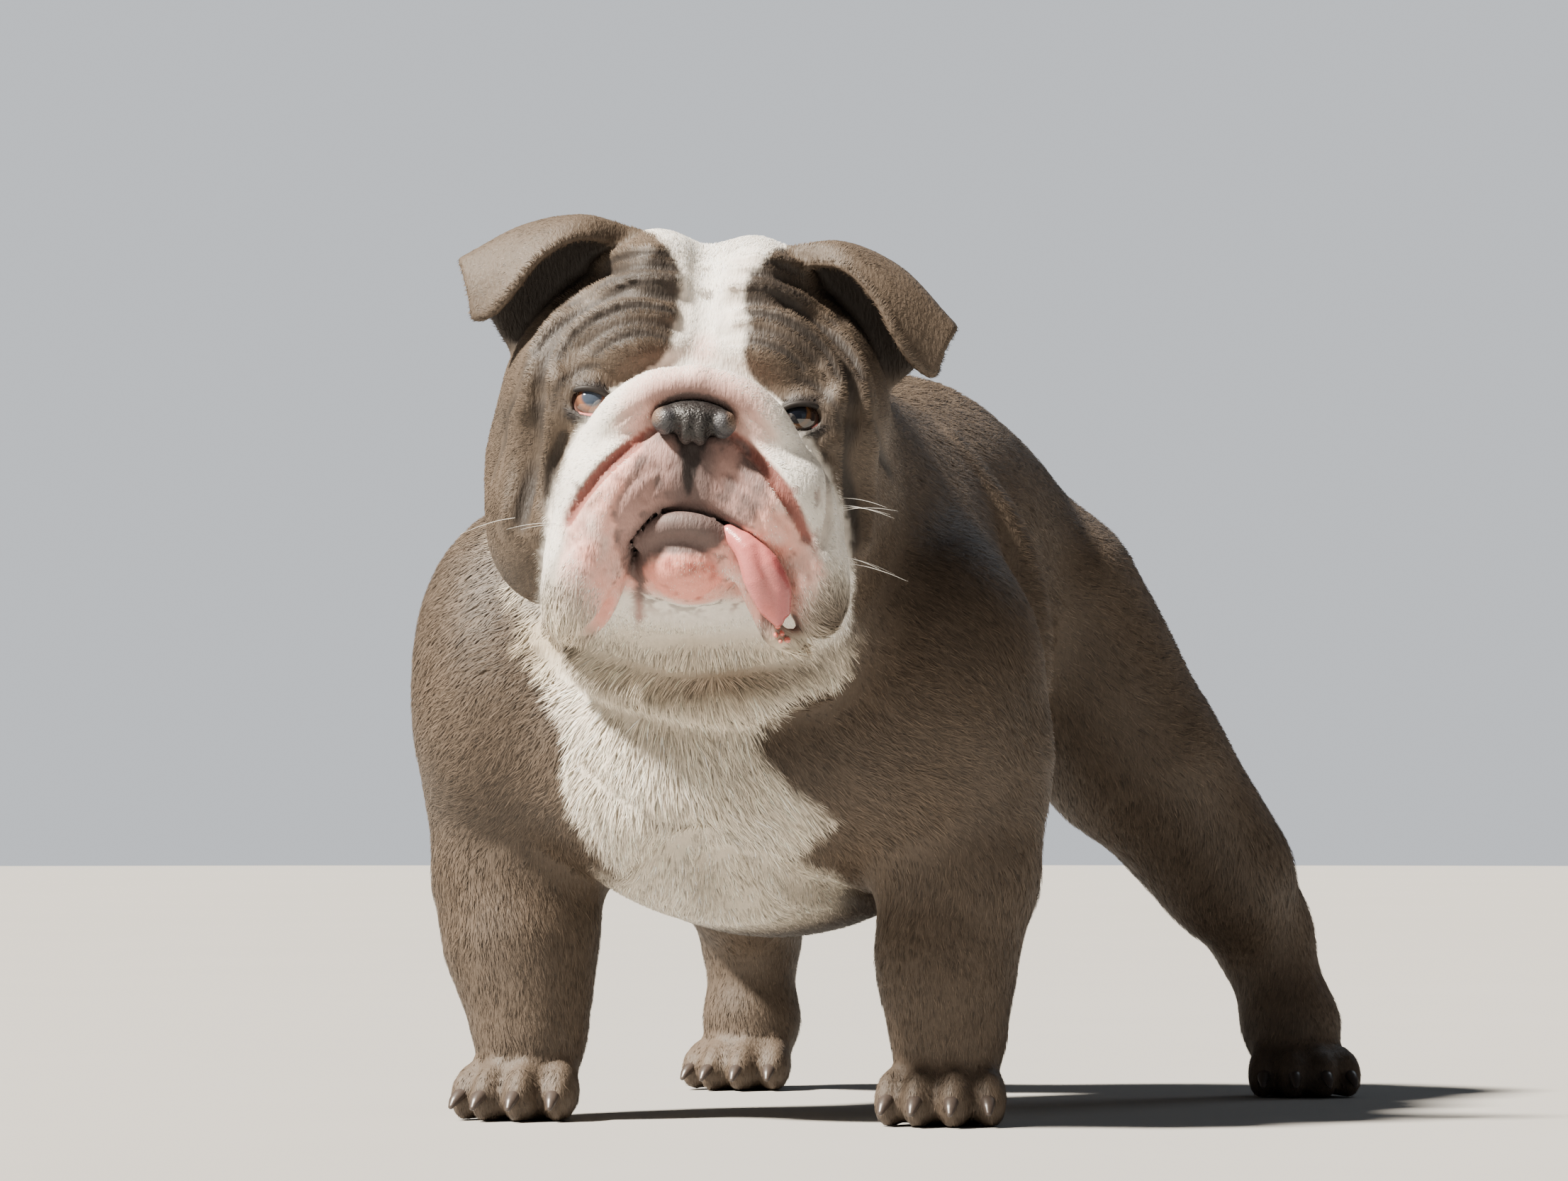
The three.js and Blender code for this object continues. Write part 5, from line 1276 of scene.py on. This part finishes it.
UPPER_MARGIN = dict(height=7.3, off=2.0, start=-14, end=194, count=11)
LOWER_MARGIN = dict(height=8.2, off=0.9, start=184, end=356, count=11)
MARGIN_RADII = np.array([0.5, 0.9, 1.2, 1.4, 1.5, 1.5, 1.5, 1.4, 1.2, 0.9, 0.5])
lid_margins = plain_piece("lid_margins", [
    swept(from_head(lid_line(side, 12.2, **margin)), MARGIN_RADII * thick, 10)
    for side in (-1, 1) for margin, thick in ((UPPER_MARGIN, 1.1), (LOWER_MARGIN, 0.75))
])

BEADS = [(49, -100.5, 1.9), (51.5, -104, 1.6), (48.5, -105, 1.5), (54.5, -107, 1.9), (51, -108, 1.3)]
beads = plain_piece("lip_beads", [
    swept(from_head([[x, -74, z], [x, -77.5, z - 0.3], [x + 0.3, -80 - 0.5 * i, z - 0.8]]),
          [r * 0.8, r, r * 0.75], 10)
    for i, (x, z, r) in enumerate(BEADS)
])

# %% Claws
CLAW = dict(radius=4.0, length=10.5, dip=36)
claws = []
for leg_name, leg in LEGS.items():
    for i, (x, y) in enumerate(TOES):
        size = leg["size"]
        reach = np.linspace(0, CLAW["length"] * size, 4)
        drop = -reach * np.tan(np.radians(CLAW["dip"])) * (0.35 + 0.65 * reach / reach[-1])
        start = on_paw(leg, (x * 1.05, y - 14, 14))
        ahead = np.array([0.0, -1.0, 0.0]) @ turning((0, 0, leg["turn"] + x * 0.5)).T
        line = start + reach[:, None] * ahead + drop[:, None] * (0, 0, 1.0)
        claw = plain_piece(f"{leg_name}_horn_{i + 1}", [
            swept(line, np.array([1, 0.96, 0.78, 0.34]) * CLAW["radius"] * size, 12, 0.8, 5, (0, 0, 1))])
        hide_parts(f"{leg_name}_claw_{i + 1}")
        claws.append(claw)
print("claws:", len(claws))

# %% Whiskers
WHISKERS = ((82, -62, 5), (78, -44, 3), (-68, -62, 3))
WHISKER_PARTS = (0, 0.35, 0.7, 1)
hair_chance = np.random.default_rng(3)
hairs = []
for x, z, count in WHISKERS:
    for _ in range(count):
        at, out = facing(face_field, np.array([x + 7 * hair_chance.standard_normal()]),
                         np.array([z + 7 * hair_chance.standard_normal()]))
        side = np.sign(x)
        way = unit(out[0] + (0.9 * side, 0.1, 0.15 * hair_chance.standard_normal()))
        length = 16 + 15 * hair_chance.random()
        sag = np.array([0.12 * side, 0.1, -0.22])
        line = [at[0] + way * t * length + sag * (t * t * length) for t in WHISKER_PARTS]
        hairs.append(swept(from_head(line), [0.15, 0.13, 0.10, 0.04], 4, 1, 4, (0.3, 0.5, 0.8)))
whiskers = plain_piece("whiskers", hairs)
print("whiskers:", len(hairs))

# %% [markdown]
# ## The coat
#
# A bulldog's hair is short and lies flat, so most of it is bump in the skin's own finish. Over that stand thin
# blades of mesh, each rooted in the skin and swept along the lie of the coat, so that the outline and the folds
# are fringed with hair from every side. A particle system would be easier to comb, but its hairs are made only
# when a picture is taken, and a mesh stays with the model. Each blade is three triangles: a root as wide as a small
# lock, a bend, and a point. Places are drawn at random on the skin, weighted by area and by how dense the hair is
# there. Each blade's map is a tiny patch at its root's place on an unwrap of the skin, so that a lock has one
# colour of its own.

# %% Lie of the coat
def lie_of_coat(p, normals, m):
    """Direction of the hair along the skin: on the head away from the nose, on the chest down and outward, on the
    trunk backward and a little down, on the legs down; then laid in the skin's plane."""
    h = to_head(p)
    head = (h - (0, -118, 2)) * (1.0, 0.6, 1.0)
    head[:, 1] += 30
    head[:, 2] -= 22 * fade(-h[:, 2], 20, 60)
    head = unit(head) @ HEAD_TURN.T
    x, y, z = p.T
    trunk = np.column_stack([0.10 * np.sign(x + 8), np.full(len(p), 0.9), np.full(len(p), -0.35)])
    chest = np.column_stack([0.012 * (x + 10), np.full(len(p), 0.15), np.full(len(p), -1.0)])
    legs = np.column_stack([np.zeros(len(p)), np.full(len(p), 0.22), np.full(len(p), -1.0)])
    flow = mixed(unit(trunk), unit(chest), fade(-y, -40, 25))
    low = np.where(y > 200, fade(-z, -200, -130), fade(-z, -170, -120))
    flow = mixed(flow, unit(legs), low * fade(np.abs(x + 8), 50, 75))
    flow = mixed(flow, head, m["on_head"])
    flow = flow + 0.22 * np.column_stack([noise(p, 26, 31), noise(p, 26, 32), noise(p, 26, 33)])
    flow = flow - (flow * normals).sum(1)[:, None] * normals
    return unit(flow)


def hair_length(p, m):
    """Length of the hair in millimetres: 7.6 on the body, longer on the white fore chest, shorter low on the legs,
    5.2 on the head, shorter on the muzzle, longest under the throat."""
    h = to_head(p)
    y, z = p[:, 1], p[:, 2]
    body = 7.6 + 5.0 * fade(-y, -10, 60) * fade(z, 120, 180) * m["white"]
    body = body - 1.6 * fade(-z, -130, -70)
    body = body - 2.0 * fade(-z, -45, -20)
    head = 5.2 - 1.4 * fade(-h[:, 1], 0, 50) + 2.6 * fade(h[:, 1], 10, 60)
    head = head - 0.8 * m["muzzle"] * m["white"] - 1.2 * m["pigment"] - 0.8 * m["pink"]
    throat = 12.5 * fade(-h[:, 2], 104, 120)
    head = np.maximum(head, throat * fade(-h[:, 1], -60, -20))
    return (body + (head - body) * m["on_head"]) * (1 - 0.45 * m["fold"])


flank = np.array([[100.0, 150, 250]])
print("hair on the flank:", hair_length(flank, masks(flank)))

# %% Places of the blades
EAR_MARGIN = 8
EAR_SKIN = 2.0
SOLE_HEIGHT = 2.5
skin_normals = point_normals(skin_points, skin_faces)
triangles = np.concatenate([skin_faces[:, [0, 1, 2]], skin_faces[:, [0, 2, 3]]])
corner_points = skin_points[triangles]
crossed = np.cross(corner_points[:, 1] - corner_points[:, 0], corner_points[:, 2] - corner_points[:, 0])
areas = np.linalg.norm(crossed, axis=1) / 2
centres = corner_points.mean(1)
centre_masks = masks(centres)
centre_head = to_head(centres)
close = np.flatnonzero(np.any([np.linalg.norm(centre_head - form.centre, axis=1) < form.reach + EAR_MARGIN
                               for form in ears], axis=0))
on_ear = np.zeros(len(centres), bool)
on_ear[close] = np.min([sampled(form.distance, centre_head[close], 24.0) for form in ears], axis=0) < EAR_SKIN


def bare(h):
    """How bare of hair the face is: the lids and the wet edges of the mouth, 0 to 1."""
    from_eye = np.min([oval(h, eye_at(side), (1.15, 1, 0.95)) for side in (-1, 1)], axis=0)
    lids = fade(-from_eye, -(EYE_RADIUS + 4.2), -(EYE_RADIUS + 1.2))
    leather = fade(-nose_field(h), -2.6, -0.8)
    edges = 0.6 * fade(-nearest(LIP_EDGES_AND_GAP_SHADE, h), -1.5, 0.5)
    return np.maximum.reduce([lids, leather, lip_corner(h), edges])


def inside_mouth(h, normals):
    """Skin that faces the jaw or the upper lip across the gap of the mouth."""
    out = h + 2.6 * (normals @ HEAD_TURN)
    hidden = np.minimum(face_field(out) + 1, jaw_field(out)) < 0
    return hidden & (h[:, 1] < -40) & (h[:, 2] < -35)


density = np.sqrt(1.0 / hair_length(centres, centre_masks)) * 3
density = density * (1 + 1.3 * centre_masks["on_head"] * fade(-centre_head[:, 1], -40, 0))
density = density * (1 - 0.92 * bare(centre_head))
density[inside_mouth(centre_head, crossed / np.maximum(2 * areas, 1e-9)[:, None])] = 0
density[centres[:, 2] < SOLE_HEIGHT] = 0

head_zone = centre_masks["on_head"] > 0.5
x, y, z = centres.T
hx, hy, hz = centre_head.T
ZONES = {
    "coat_ears": on_ear,
    "coat_muzzle": head_zone & ~on_ear & (hy < -34) & (hz < 30) & (np.abs(hx) < 72),
    "coat_brow": head_zone & ~on_ear & (hy < 30) & (hz >= 12),
    "coat_cheeks": head_zone & ~on_ear & (hy < 30) & (hz < 12),
    "coat_nape": head_zone & ~on_ear & (hy >= 30),
    "coat_forelegs": ~head_zone & (y < 110) & (z < 150) & (np.abs(x + 4) > 62),
    "coat_chest": ~head_zone & (y < 20),
    "coat_hind_left": ~head_zone & (y > 290) & (x > 34),
    "coat_hind_right": ~head_zone & (y > 290) & (x <= 34),
    "coat_flank_left": ~head_zone & (x > 4),
    "coat_flank_right": ~head_zone & (x <= 4),
}
zone_number = np.select(list(ZONES.values()), range(len(ZONES)), -1)
for number, zone in enumerate(ZONES):
    print(zone, int((areas * (zone_number == number)).sum() / 100), "cm2")

# %% Blades
BLADES = dict(coat_ears=30000, coat_muzzle=46000, coat_brow=52000, coat_cheeks=50000, coat_nape=24000,
              coat_forelegs=40000, coat_chest=56000, coat_hind_left=34000, coat_hind_right=34000,
              coat_flank_left=42000, coat_flank_right=38000)
PATCH = 0.003
ROOT_DEPTH = 0.4
EAR_HAIR = 3.2
BEND_RISE, TIP_RISE = 1.35, 0.8
# Along each blade: darker at the root and lighter at the tip, painted shade inside the coat and painted highlight on
# the tips.
BLADE_ROOT_SHADE_TIP_HIGHLIGHT = np.array([0.58, 0.58, 0.95, 0.95, 1.15])
BLADE_PATCH = PATCH * np.array([[-.5, -.5], [.5, -.5], [-.4, 0], [.4, 0], [0, .5]])
chance = np.random.default_rng(7)


def unwrap(p, normals):
    """A map of the skin's shape: each place goes to the view along the axis its normal leans to, and the six views
    stand side by side in three columns and two rows."""
    axis = np.argmax(np.abs(normals), axis=1)
    way = (np.take_along_axis(normals, axis[:, None], 1)[:, 0] < 0).astype(int)
    low, span = p.min(0), (p.max(0) - p.min(0)).max()
    flat = (p - low) / span
    u = np.where(axis == 0, flat[:, 1], flat[:, 0])
    v = np.where(axis == 2, flat[:, 1], flat[:, 2])
    return np.column_stack([(axis + 0.01 + 0.98 * u) / 3, (way + 0.01 + 0.98 * v) / 2])


def blades(name, number):
    """Blades of hair over one zone. Root, bend and tip are root + flow L t cos a + normal L t sin a, for a lift a
    that falls from root to tip; the width w shrinks to nothing at the tip."""
    weight = areas * density * (zone_number == number)
    pick = np.searchsorted(np.cumsum(weight), chance.random(BLADES[name]) * weight.sum())
    a, b = chance.random((2, len(pick)))
    a, b = np.where(a + b > 1, 1 - a, a), np.where(a + b > 1, 1 - b, b)
    share = np.column_stack([1 - a - b, a, b])[:, :, None]
    root = (corner_points[pick] * share).sum(1)
    normal = unit((skin_normals[triangles[pick]] * share).sum(1))
    m = masks(root)
    flow = lie_of_coat(root, normal, m)
    side = np.cross(normal, flow)
    swing = 0.16 * chance.standard_normal(len(root)) + 0.30 * noise(root, 5.0, 41)
    flow = unit(flow + swing[:, None] * side)
    roll = 0.22 * chance.standard_normal(len(root))
    across = unit(np.cos(roll)[:, None] * np.cross(normal, flow) + np.sin(roll)[:, None] * normal)
    long = hair_length(root, m) * (0.72 + 0.5 * chance.random(len(root)))
    if name == "coat_ears":
        long = EAR_HAIR * (0.7 + 0.6 * chance.random(len(root)))
    wide = (0.30 + 0.028 * long) * (0.75 + 0.5 * chance.random(len(root)))
    lift = np.radians(7 + 5 * chance.random(len(root)) + 3 * noise(root, 9.0, 51))
    root = root - ROOT_DEPTH * normal

    def at(t, a):
        return root + (long * t * np.cos(a))[:, None] * flow + (long * t * np.sin(a))[:, None] * normal

    bend, tip = at(0.5, lift * BEND_RISE), at(1.0, lift * TIP_RISE)
    half = across * (wide / 2)[:, None]
    points = np.stack([root - half, root + half, bend - 0.8 * half, bend + 0.8 * half, tip], 1)
    base = 5 * np.arange(len(root))[:, None, None]
    faces = (base + np.array([[0, 3, 1], [0, 2, 3], [2, 4, 3]])).reshape(-1, 3)
    colour = coat_colour(root) * (1 + 0.30 * np.clip(chance.standard_normal(len(root)), -2, 2.5))[:, None]
    colour = np.clip(colour, 0.004, 0.9)
    obj = mesh_object(name, to_row(points.reshape(-1, 3)), faces)
    flat = np.cross(flow, across)
    leaned = unit(normal + 0.6 * flat * np.sign((flat * normal).sum(1))[:, None])
    free = obj.data.attributes.new("custom_normal", "FLOAT_VECTOR", "POINT")
    free.data.foreach_set("vector", np.repeat(leaned, 5, axis=0).astype(np.float32).reshape(-1))
    # Each blade's colour with painted shade at its root and painted highlight at its tip.
    paint(obj, "Tint", np.clip(colour[:, None] * BLADE_ROOT_SHADE_TIP_HIGHLIGHT[:, None], 0, 0.95).reshape(-1, 3))
    patch = unwrap(root, normal)[:, None] + BLADE_PATCH
    layer = obj.data.uv_layers.new(name="OFBake")
    layer.data.foreach_set("uv", patch.reshape(-1, 2)[faces.reshape(-1)].astype(np.float32).reshape(-1))
    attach(obj, "root")
    return obj


coat = [blades(name, number) for number, name in enumerate(ZONES)]
print("blades:", sum(BLADES.values()), "triangles:", 3 * sum(BLADES.values()))

# %% [markdown]
# ## Finishes
#
# Every finish takes its main colour from the piece's own attribute, or from one constant, and adds what is too small
# to be shape: mottling of the colour, the nap of hair too short for blades, the pebbles of the nose, the film of
# water on eye and tongue. These effects are small shader groups with named sockets, shared between the finishes.

# %% Shader groups
def shader_group(name, inputs, outputs):
    """An empty group with named sockets; gives the group and its two end nodes."""
    group = bpy.data.node_groups.new(name, "ShaderNodeTree")
    for label, kind, value in inputs:
        group.interface.new_socket(label, in_out="INPUT", socket_type=kind).default_value = value
    for label, kind in outputs:
        group.interface.new_socket(label, in_out="OUTPUT", socket_type=kind)
    return group, group.nodes.new("NodeGroupInput"), group.nodes.new("NodeGroupOutput")


def made(tree, kind, links=(), **values):
    """A node of a kind, with links {socket: source} and values {property or socket: value}."""
    node = tree.nodes.new(kind)
    for key, value in values.items():
        if hasattr(node, key):
            setattr(node, key, value)
    for socket, source in dict(links).items():
        if isinstance(source, bpy.types.NodeSocket):
            tree.links.new(source, node.inputs[socket])
        else:
            node.inputs[socket].default_value = source
    return node


def mottle_group():
    """Colour times a soft noise between 1 - Amount and 1 + Amount."""
    group, start, end = shader_group("mottle", [
        ("Color", "NodeSocketColor", (0.5, 0.5, 0.5, 1)), ("Scale", "NodeSocketFloat", 200.0),
        ("Amount", "NodeSocketFloat", 0.1)], [("Color", "NodeSocketColor")])
    place = made(group, "ShaderNodeTexCoord")
    grain = made(group, "ShaderNodeTexNoise", {"Vector": place.outputs["Object"], "Scale": start.outputs["Scale"],
                                                "Detail": 3.0, "Roughness": 0.6})
    swing = made(group, "ShaderNodeMath", {0: grain.outputs["Fac"], 1: 0.5}, operation="SUBTRACT")
    size = made(group, "ShaderNodeMath", {0: swing.outputs[0], 1: start.outputs["Amount"]}, operation="MULTIPLY")
    factor = made(group, "ShaderNodeMath", {0: size.outputs[0], 1: 3.0, 2: 1.0}, operation="MULTIPLY_ADD")
    scaled = made(group, "ShaderNodeVectorMath", {0: start.outputs["Color"], "Scale": factor.outputs[0]},
                  operation="SCALE")
    group.links.new(scaled.outputs[0], end.inputs["Color"])
    return group


def nap_group():
    """Height of very short hair: noise drawn out four times along z, so that its ridges run up and down."""
    group, start, end = shader_group("nap", [("Scale", "NodeSocketFloat", 700.0)], [("Height", "NodeSocketFloat")])
    place = made(group, "ShaderNodeTexCoord")
    drawn = made(group, "ShaderNodeVectorMath", {0: place.outputs["Object"], 1: (1.0, 0.6, 0.28)},
                 operation="MULTIPLY")
    grain = made(group, "ShaderNodeTexNoise", {"Vector": drawn.outputs[0], "Scale": start.outputs["Scale"],
                                               "Detail": 2.0, "Roughness": 0.55})
    group.links.new(grain.outputs["Fac"], end.inputs["Height"])
    return group


def pebble_group():
    """Height of small rounded pebbles: one less the distance to the nearest cell centre."""
    group, start, end = shader_group("pebbles", [("Scale", "NodeSocketFloat", 900.0)],
                                     [("Height", "NodeSocketFloat")])
    place = made(group, "ShaderNodeTexCoord")
    cells = made(group, "ShaderNodeTexVoronoi", {"Vector": place.outputs["Object"], "Scale": start.outputs["Scale"]})
    height = made(group, "ShaderNodeMath", {0: 1.0, 1: cells.outputs["Distance"]}, operation="SUBTRACT")
    group.links.new(height.outputs[0], end.inputs["Height"])
    return group


def damp_group():
    """Roughness that wanders between Low and High."""
    group, start, end = shader_group("damp", [
        ("Low", "NodeSocketFloat", 0.2), ("High", "NodeSocketFloat", 0.5), ("Scale", "NodeSocketFloat", 250.0)],
        [("Roughness", "NodeSocketFloat")])
    place = made(group, "ShaderNodeTexCoord")
    grain = made(group, "ShaderNodeTexNoise", {"Vector": place.outputs["Object"], "Scale": start.outputs["Scale"],
                                               "Detail": 2.0})
    span = made(group, "ShaderNodeMapRange", {"Value": grain.outputs["Fac"], "From Min": 0.3, "From Max": 0.7,
                                              "To Min": start.outputs["Low"], "To Max": start.outputs["High"]})
    group.links.new(span.outputs["Result"], end.inputs["Roughness"])
    return group


MOTTLE, NAP, PEBBLES, DAMP = mottle_group(), nap_group(), pebble_group(), damp_group()
print("shader groups:", [group.name for group in bpy.data.node_groups])

# %% Finishes
def finish_of(name, colour=None, mottle=(200.0, 0.1), bump=None, damp=None, **constants):
    """A finish: base colour from the Tint attribute or one constant, mottled; bump = (group, scale, strength,
    distance in metres); damp = (low, high, scale) of roughness; constants go to the shader's own sockets."""
    material = bpy.data.materials.new(name)
    material.use_nodes = True
    tree = material.node_tree
    shader = tree.nodes["Principled BSDF"]
    for socket, value in constants.items():
        shader.inputs[socket.replace("_", " ")].default_value = value
    mottled = made(tree, "ShaderNodeGroup", node_tree=MOTTLE)
    mottled.inputs["Scale"].default_value, mottled.inputs["Amount"].default_value = mottle
    if colour is None:
        tint = made(tree, "ShaderNodeAttribute", attribute_name="Tint")
        tree.links.new(tint.outputs["Color"], mottled.inputs["Color"])
    else:
        mottled.inputs["Color"].default_value = (*colour, 1)
    tree.links.new(mottled.outputs["Color"], shader.inputs["Base Color"])
    if bump:
        group, scale, strength, distance = bump
        height = made(tree, "ShaderNodeGroup", node_tree=group)
        height.inputs["Scale"].default_value = scale
        relief = made(tree, "ShaderNodeBump", {"Height": height.outputs["Height"], "Strength": strength,
                                               "Distance": distance})
        tree.links.new(relief.outputs["Normal"], shader.inputs["Normal"])
    if damp:
        wet = made(tree, "ShaderNodeGroup", node_tree=DAMP)
        wet.inputs["Low"].default_value, wet.inputs["High"].default_value, wet.inputs["Scale"].default_value = damp
        tree.links.new(wet.outputs["Roughness"], shader.inputs["Roughness"])
    return material


def dress(pieces, material):
    """Give the pieces this material alone."""
    for piece in pieces:
        piece.data.materials.clear()
        piece.data.materials.append(material)


dress([skin], finish_of("skin", mottle=(260.0, 0.12), bump=(NAP, 700.0, 0.6, 0.0012), Roughness=0.62,
                        Specular_IOR_Level=0.35))
dress(coat, finish_of("hair", mottle=(1500.0, 0.10), Roughness=0.55, Specular_IOR_Level=0.35))
dress(eyes, finish_of("eye", mottle=(900.0, 0.06), Roughness=0.08, Coat_Weight=1.0, Coat_Roughness=0.02))
dress([nose], finish_of("nose leather", mottle=(1200.0, 0.2), bump=(PEBBLES, 850.0, 0.6, 0.0007),
                        damp=(0.34, 0.62, 300.0)))
dress([tongue], finish_of("tongue", mottle=(900.0, 0.12), bump=(PEBBLES, 1600.0, 0.25, 0.0004),
                          damp=(0.2, 0.4, 260.0), Coat_Weight=0.4))
dress([lid_margins], finish_of("lid margin", (0.014, 0.011, 0.010), (600.0, 0.2), Roughness=0.6,
                               Specular_IOR_Level=0.3))
dress([haws], finish_of("inner lid", (0.62, 0.22, 0.20), (500.0, 0.2), Roughness=0.2, Coat_Weight=0.6))
dress([beads], finish_of("lip beads", (0.60, 0.17, 0.13), (700.0, 0.2), Roughness=0.15, Coat_Weight=0.8))
dress(claws, finish_of("claw horn", (0.055, 0.042, 0.036), (300.0, 0.25), (NAP, 500.0, 0.2, 0.0003), Roughness=0.35))
dress([whiskers], finish_of("whisker", (0.78, 0.76, 0.72), (400.0, 0.05), Roughness=0.4))
print("finishes:", len(bpy.data.materials))

# %% [markdown]
# ## Floor, light and camera
#
# A plain pale floor that curves up far behind would be usual in a studio, but here a wide disc and an even pale sky
# are enough. The sky lights the dog much less than it shows to the camera. The main light comes from high on the
# left, where the sun was, and is six degrees wide, so that the folds read and their shadows still have soft edges.
# A weak cool one stands opposite, and one behind draws the back off the floor. A single broad light would need no
# helpers, but it fills every crease. The camera stands where the photo was taken from: a little to the dog's left
# of straight ahead, four and a half metres off, twenty centimetres above the floor.

# %% Floor and lights
def disc(radius, rings=40, around=96):
    """Flat disc of rings, round its centre point."""
    r = radius * np.linspace(0, 1, rings + 1)[1:]
    a = 2 * np.pi * np.arange(around) / around
    grid_r, grid_a = np.meshgrid(r, a, indexing="ij")
    points = np.stack([grid_r * np.cos(grid_a), grid_r * np.sin(grid_a), 0 * grid_r], -1).reshape(-1, 3)
    return np.vstack([points, [0, 0, 0]]), ring_faces(rings, around, 1)


def aimed(obj, at, target):
    """Put a light or a camera at a place, looking at a target."""
    obj.location = at
    obj.rotation_euler = (Vector(target) - Vector(at)).to_track_quat("-Z", "Y").to_euler()
    bpy.context.scene.collection.objects.link(obj)
    return obj


def soft_light(name, at, target, size, power, colour):
    light = bpy.data.lights.new(name, "AREA")
    light.size, light.energy, light.color = size, power, colour
    return aimed(bpy.data.objects.new(name, light), at, target)


SKY_LIGHT, SKY_SEEN = 0.07, 0.80
floor_points, floor_faces = disc(9.0)
floor = mesh_object("floor", floor_points - (0, 0, 0.0005), floor_faces)
dress([floor], finish_of("floor", (0.38, 0.37, 0.355), (3.0, 0.02), Roughness=0.8))
world = bpy.data.worlds.new("studio")
world.use_nodes = True
sky = world.node_tree.nodes["Background"]
sky.inputs["Color"].default_value = (0.90, 0.94, 1.0, 1)
seen = made(world.node_tree, "ShaderNodeLightPath")
strength = made(world.node_tree, "ShaderNodeMapRange", {"Value": seen.outputs["Is Camera Ray"],
                                                        "To Min": SKY_LIGHT, "To Max": SKY_SEEN})
world.node_tree.links.new(strength.outputs["Result"], sky.inputs["Strength"])
bpy.context.scene.world = world
sun = bpy.data.lights.new("key", "SUN")
sun.angle, sun.energy, sun.color = np.radians(6), 18.5, (1.0, 0.92, 0.80)
aimed(bpy.data.objects.new("key", sun), (-2.7, -2.5, 4.7), (0, 0, 0.25))
soft_light("fill", (2.6, -2.4, 1.2), (0, 0, 0.2), 1.6, 2, (0.72, 0.84, 1.0))
soft_light("rim", (0.9, 2.6, 2.2), (0, 0.1, 0.3), 1.2, 9, (0.80, 0.90, 1.0))

# %% Camera
CAMERA_AZIMUTH = np.radians(17.5)
CAMERA_DISTANCE = 4.5
CAMERA_HEIGHT = 0.20
FOCAL_PIXELS = 12112
IMAGE_WIDTH = 2212
SENSOR_WIDTH = 36
FARTHEST_SEEN = 40
LOOK_ASIDE, LOOK_UP = 72, 209

before_feet = np.array([-SHIFT[0], -SHIFT[1], 0]) / 1000
across = np.array([np.cos(CAMERA_AZIMUTH), np.sin(CAMERA_AZIMUTH), 0])
stand = before_feet + (CAMERA_DISTANCE * across[1], -CAMERA_DISTANCE * across[0], CAMERA_HEIGHT)
per_pixel = CAMERA_DISTANCE / FOCAL_PIXELS
aim = before_feet + LOOK_ASIDE * per_pixel * across + (0, 0, CAMERA_HEIGHT + LOOK_UP * per_pixel)
camera = aimed(bpy.data.objects.new("camera", bpy.data.cameras.new("camera")), stand, aim)
camera.data.sensor_width = SENSOR_WIDTH
camera.data.lens = FOCAL_PIXELS * SENSOR_WIDTH / IMAGE_WIDTH
camera.data.clip_end = FARTHEST_SEEN
bpy.context.scene.camera = camera
print("lights:", len(bpy.data.lights), "camera at", np.round(stand, 3), "lens", round(camera.data.lens, 1), "mm")
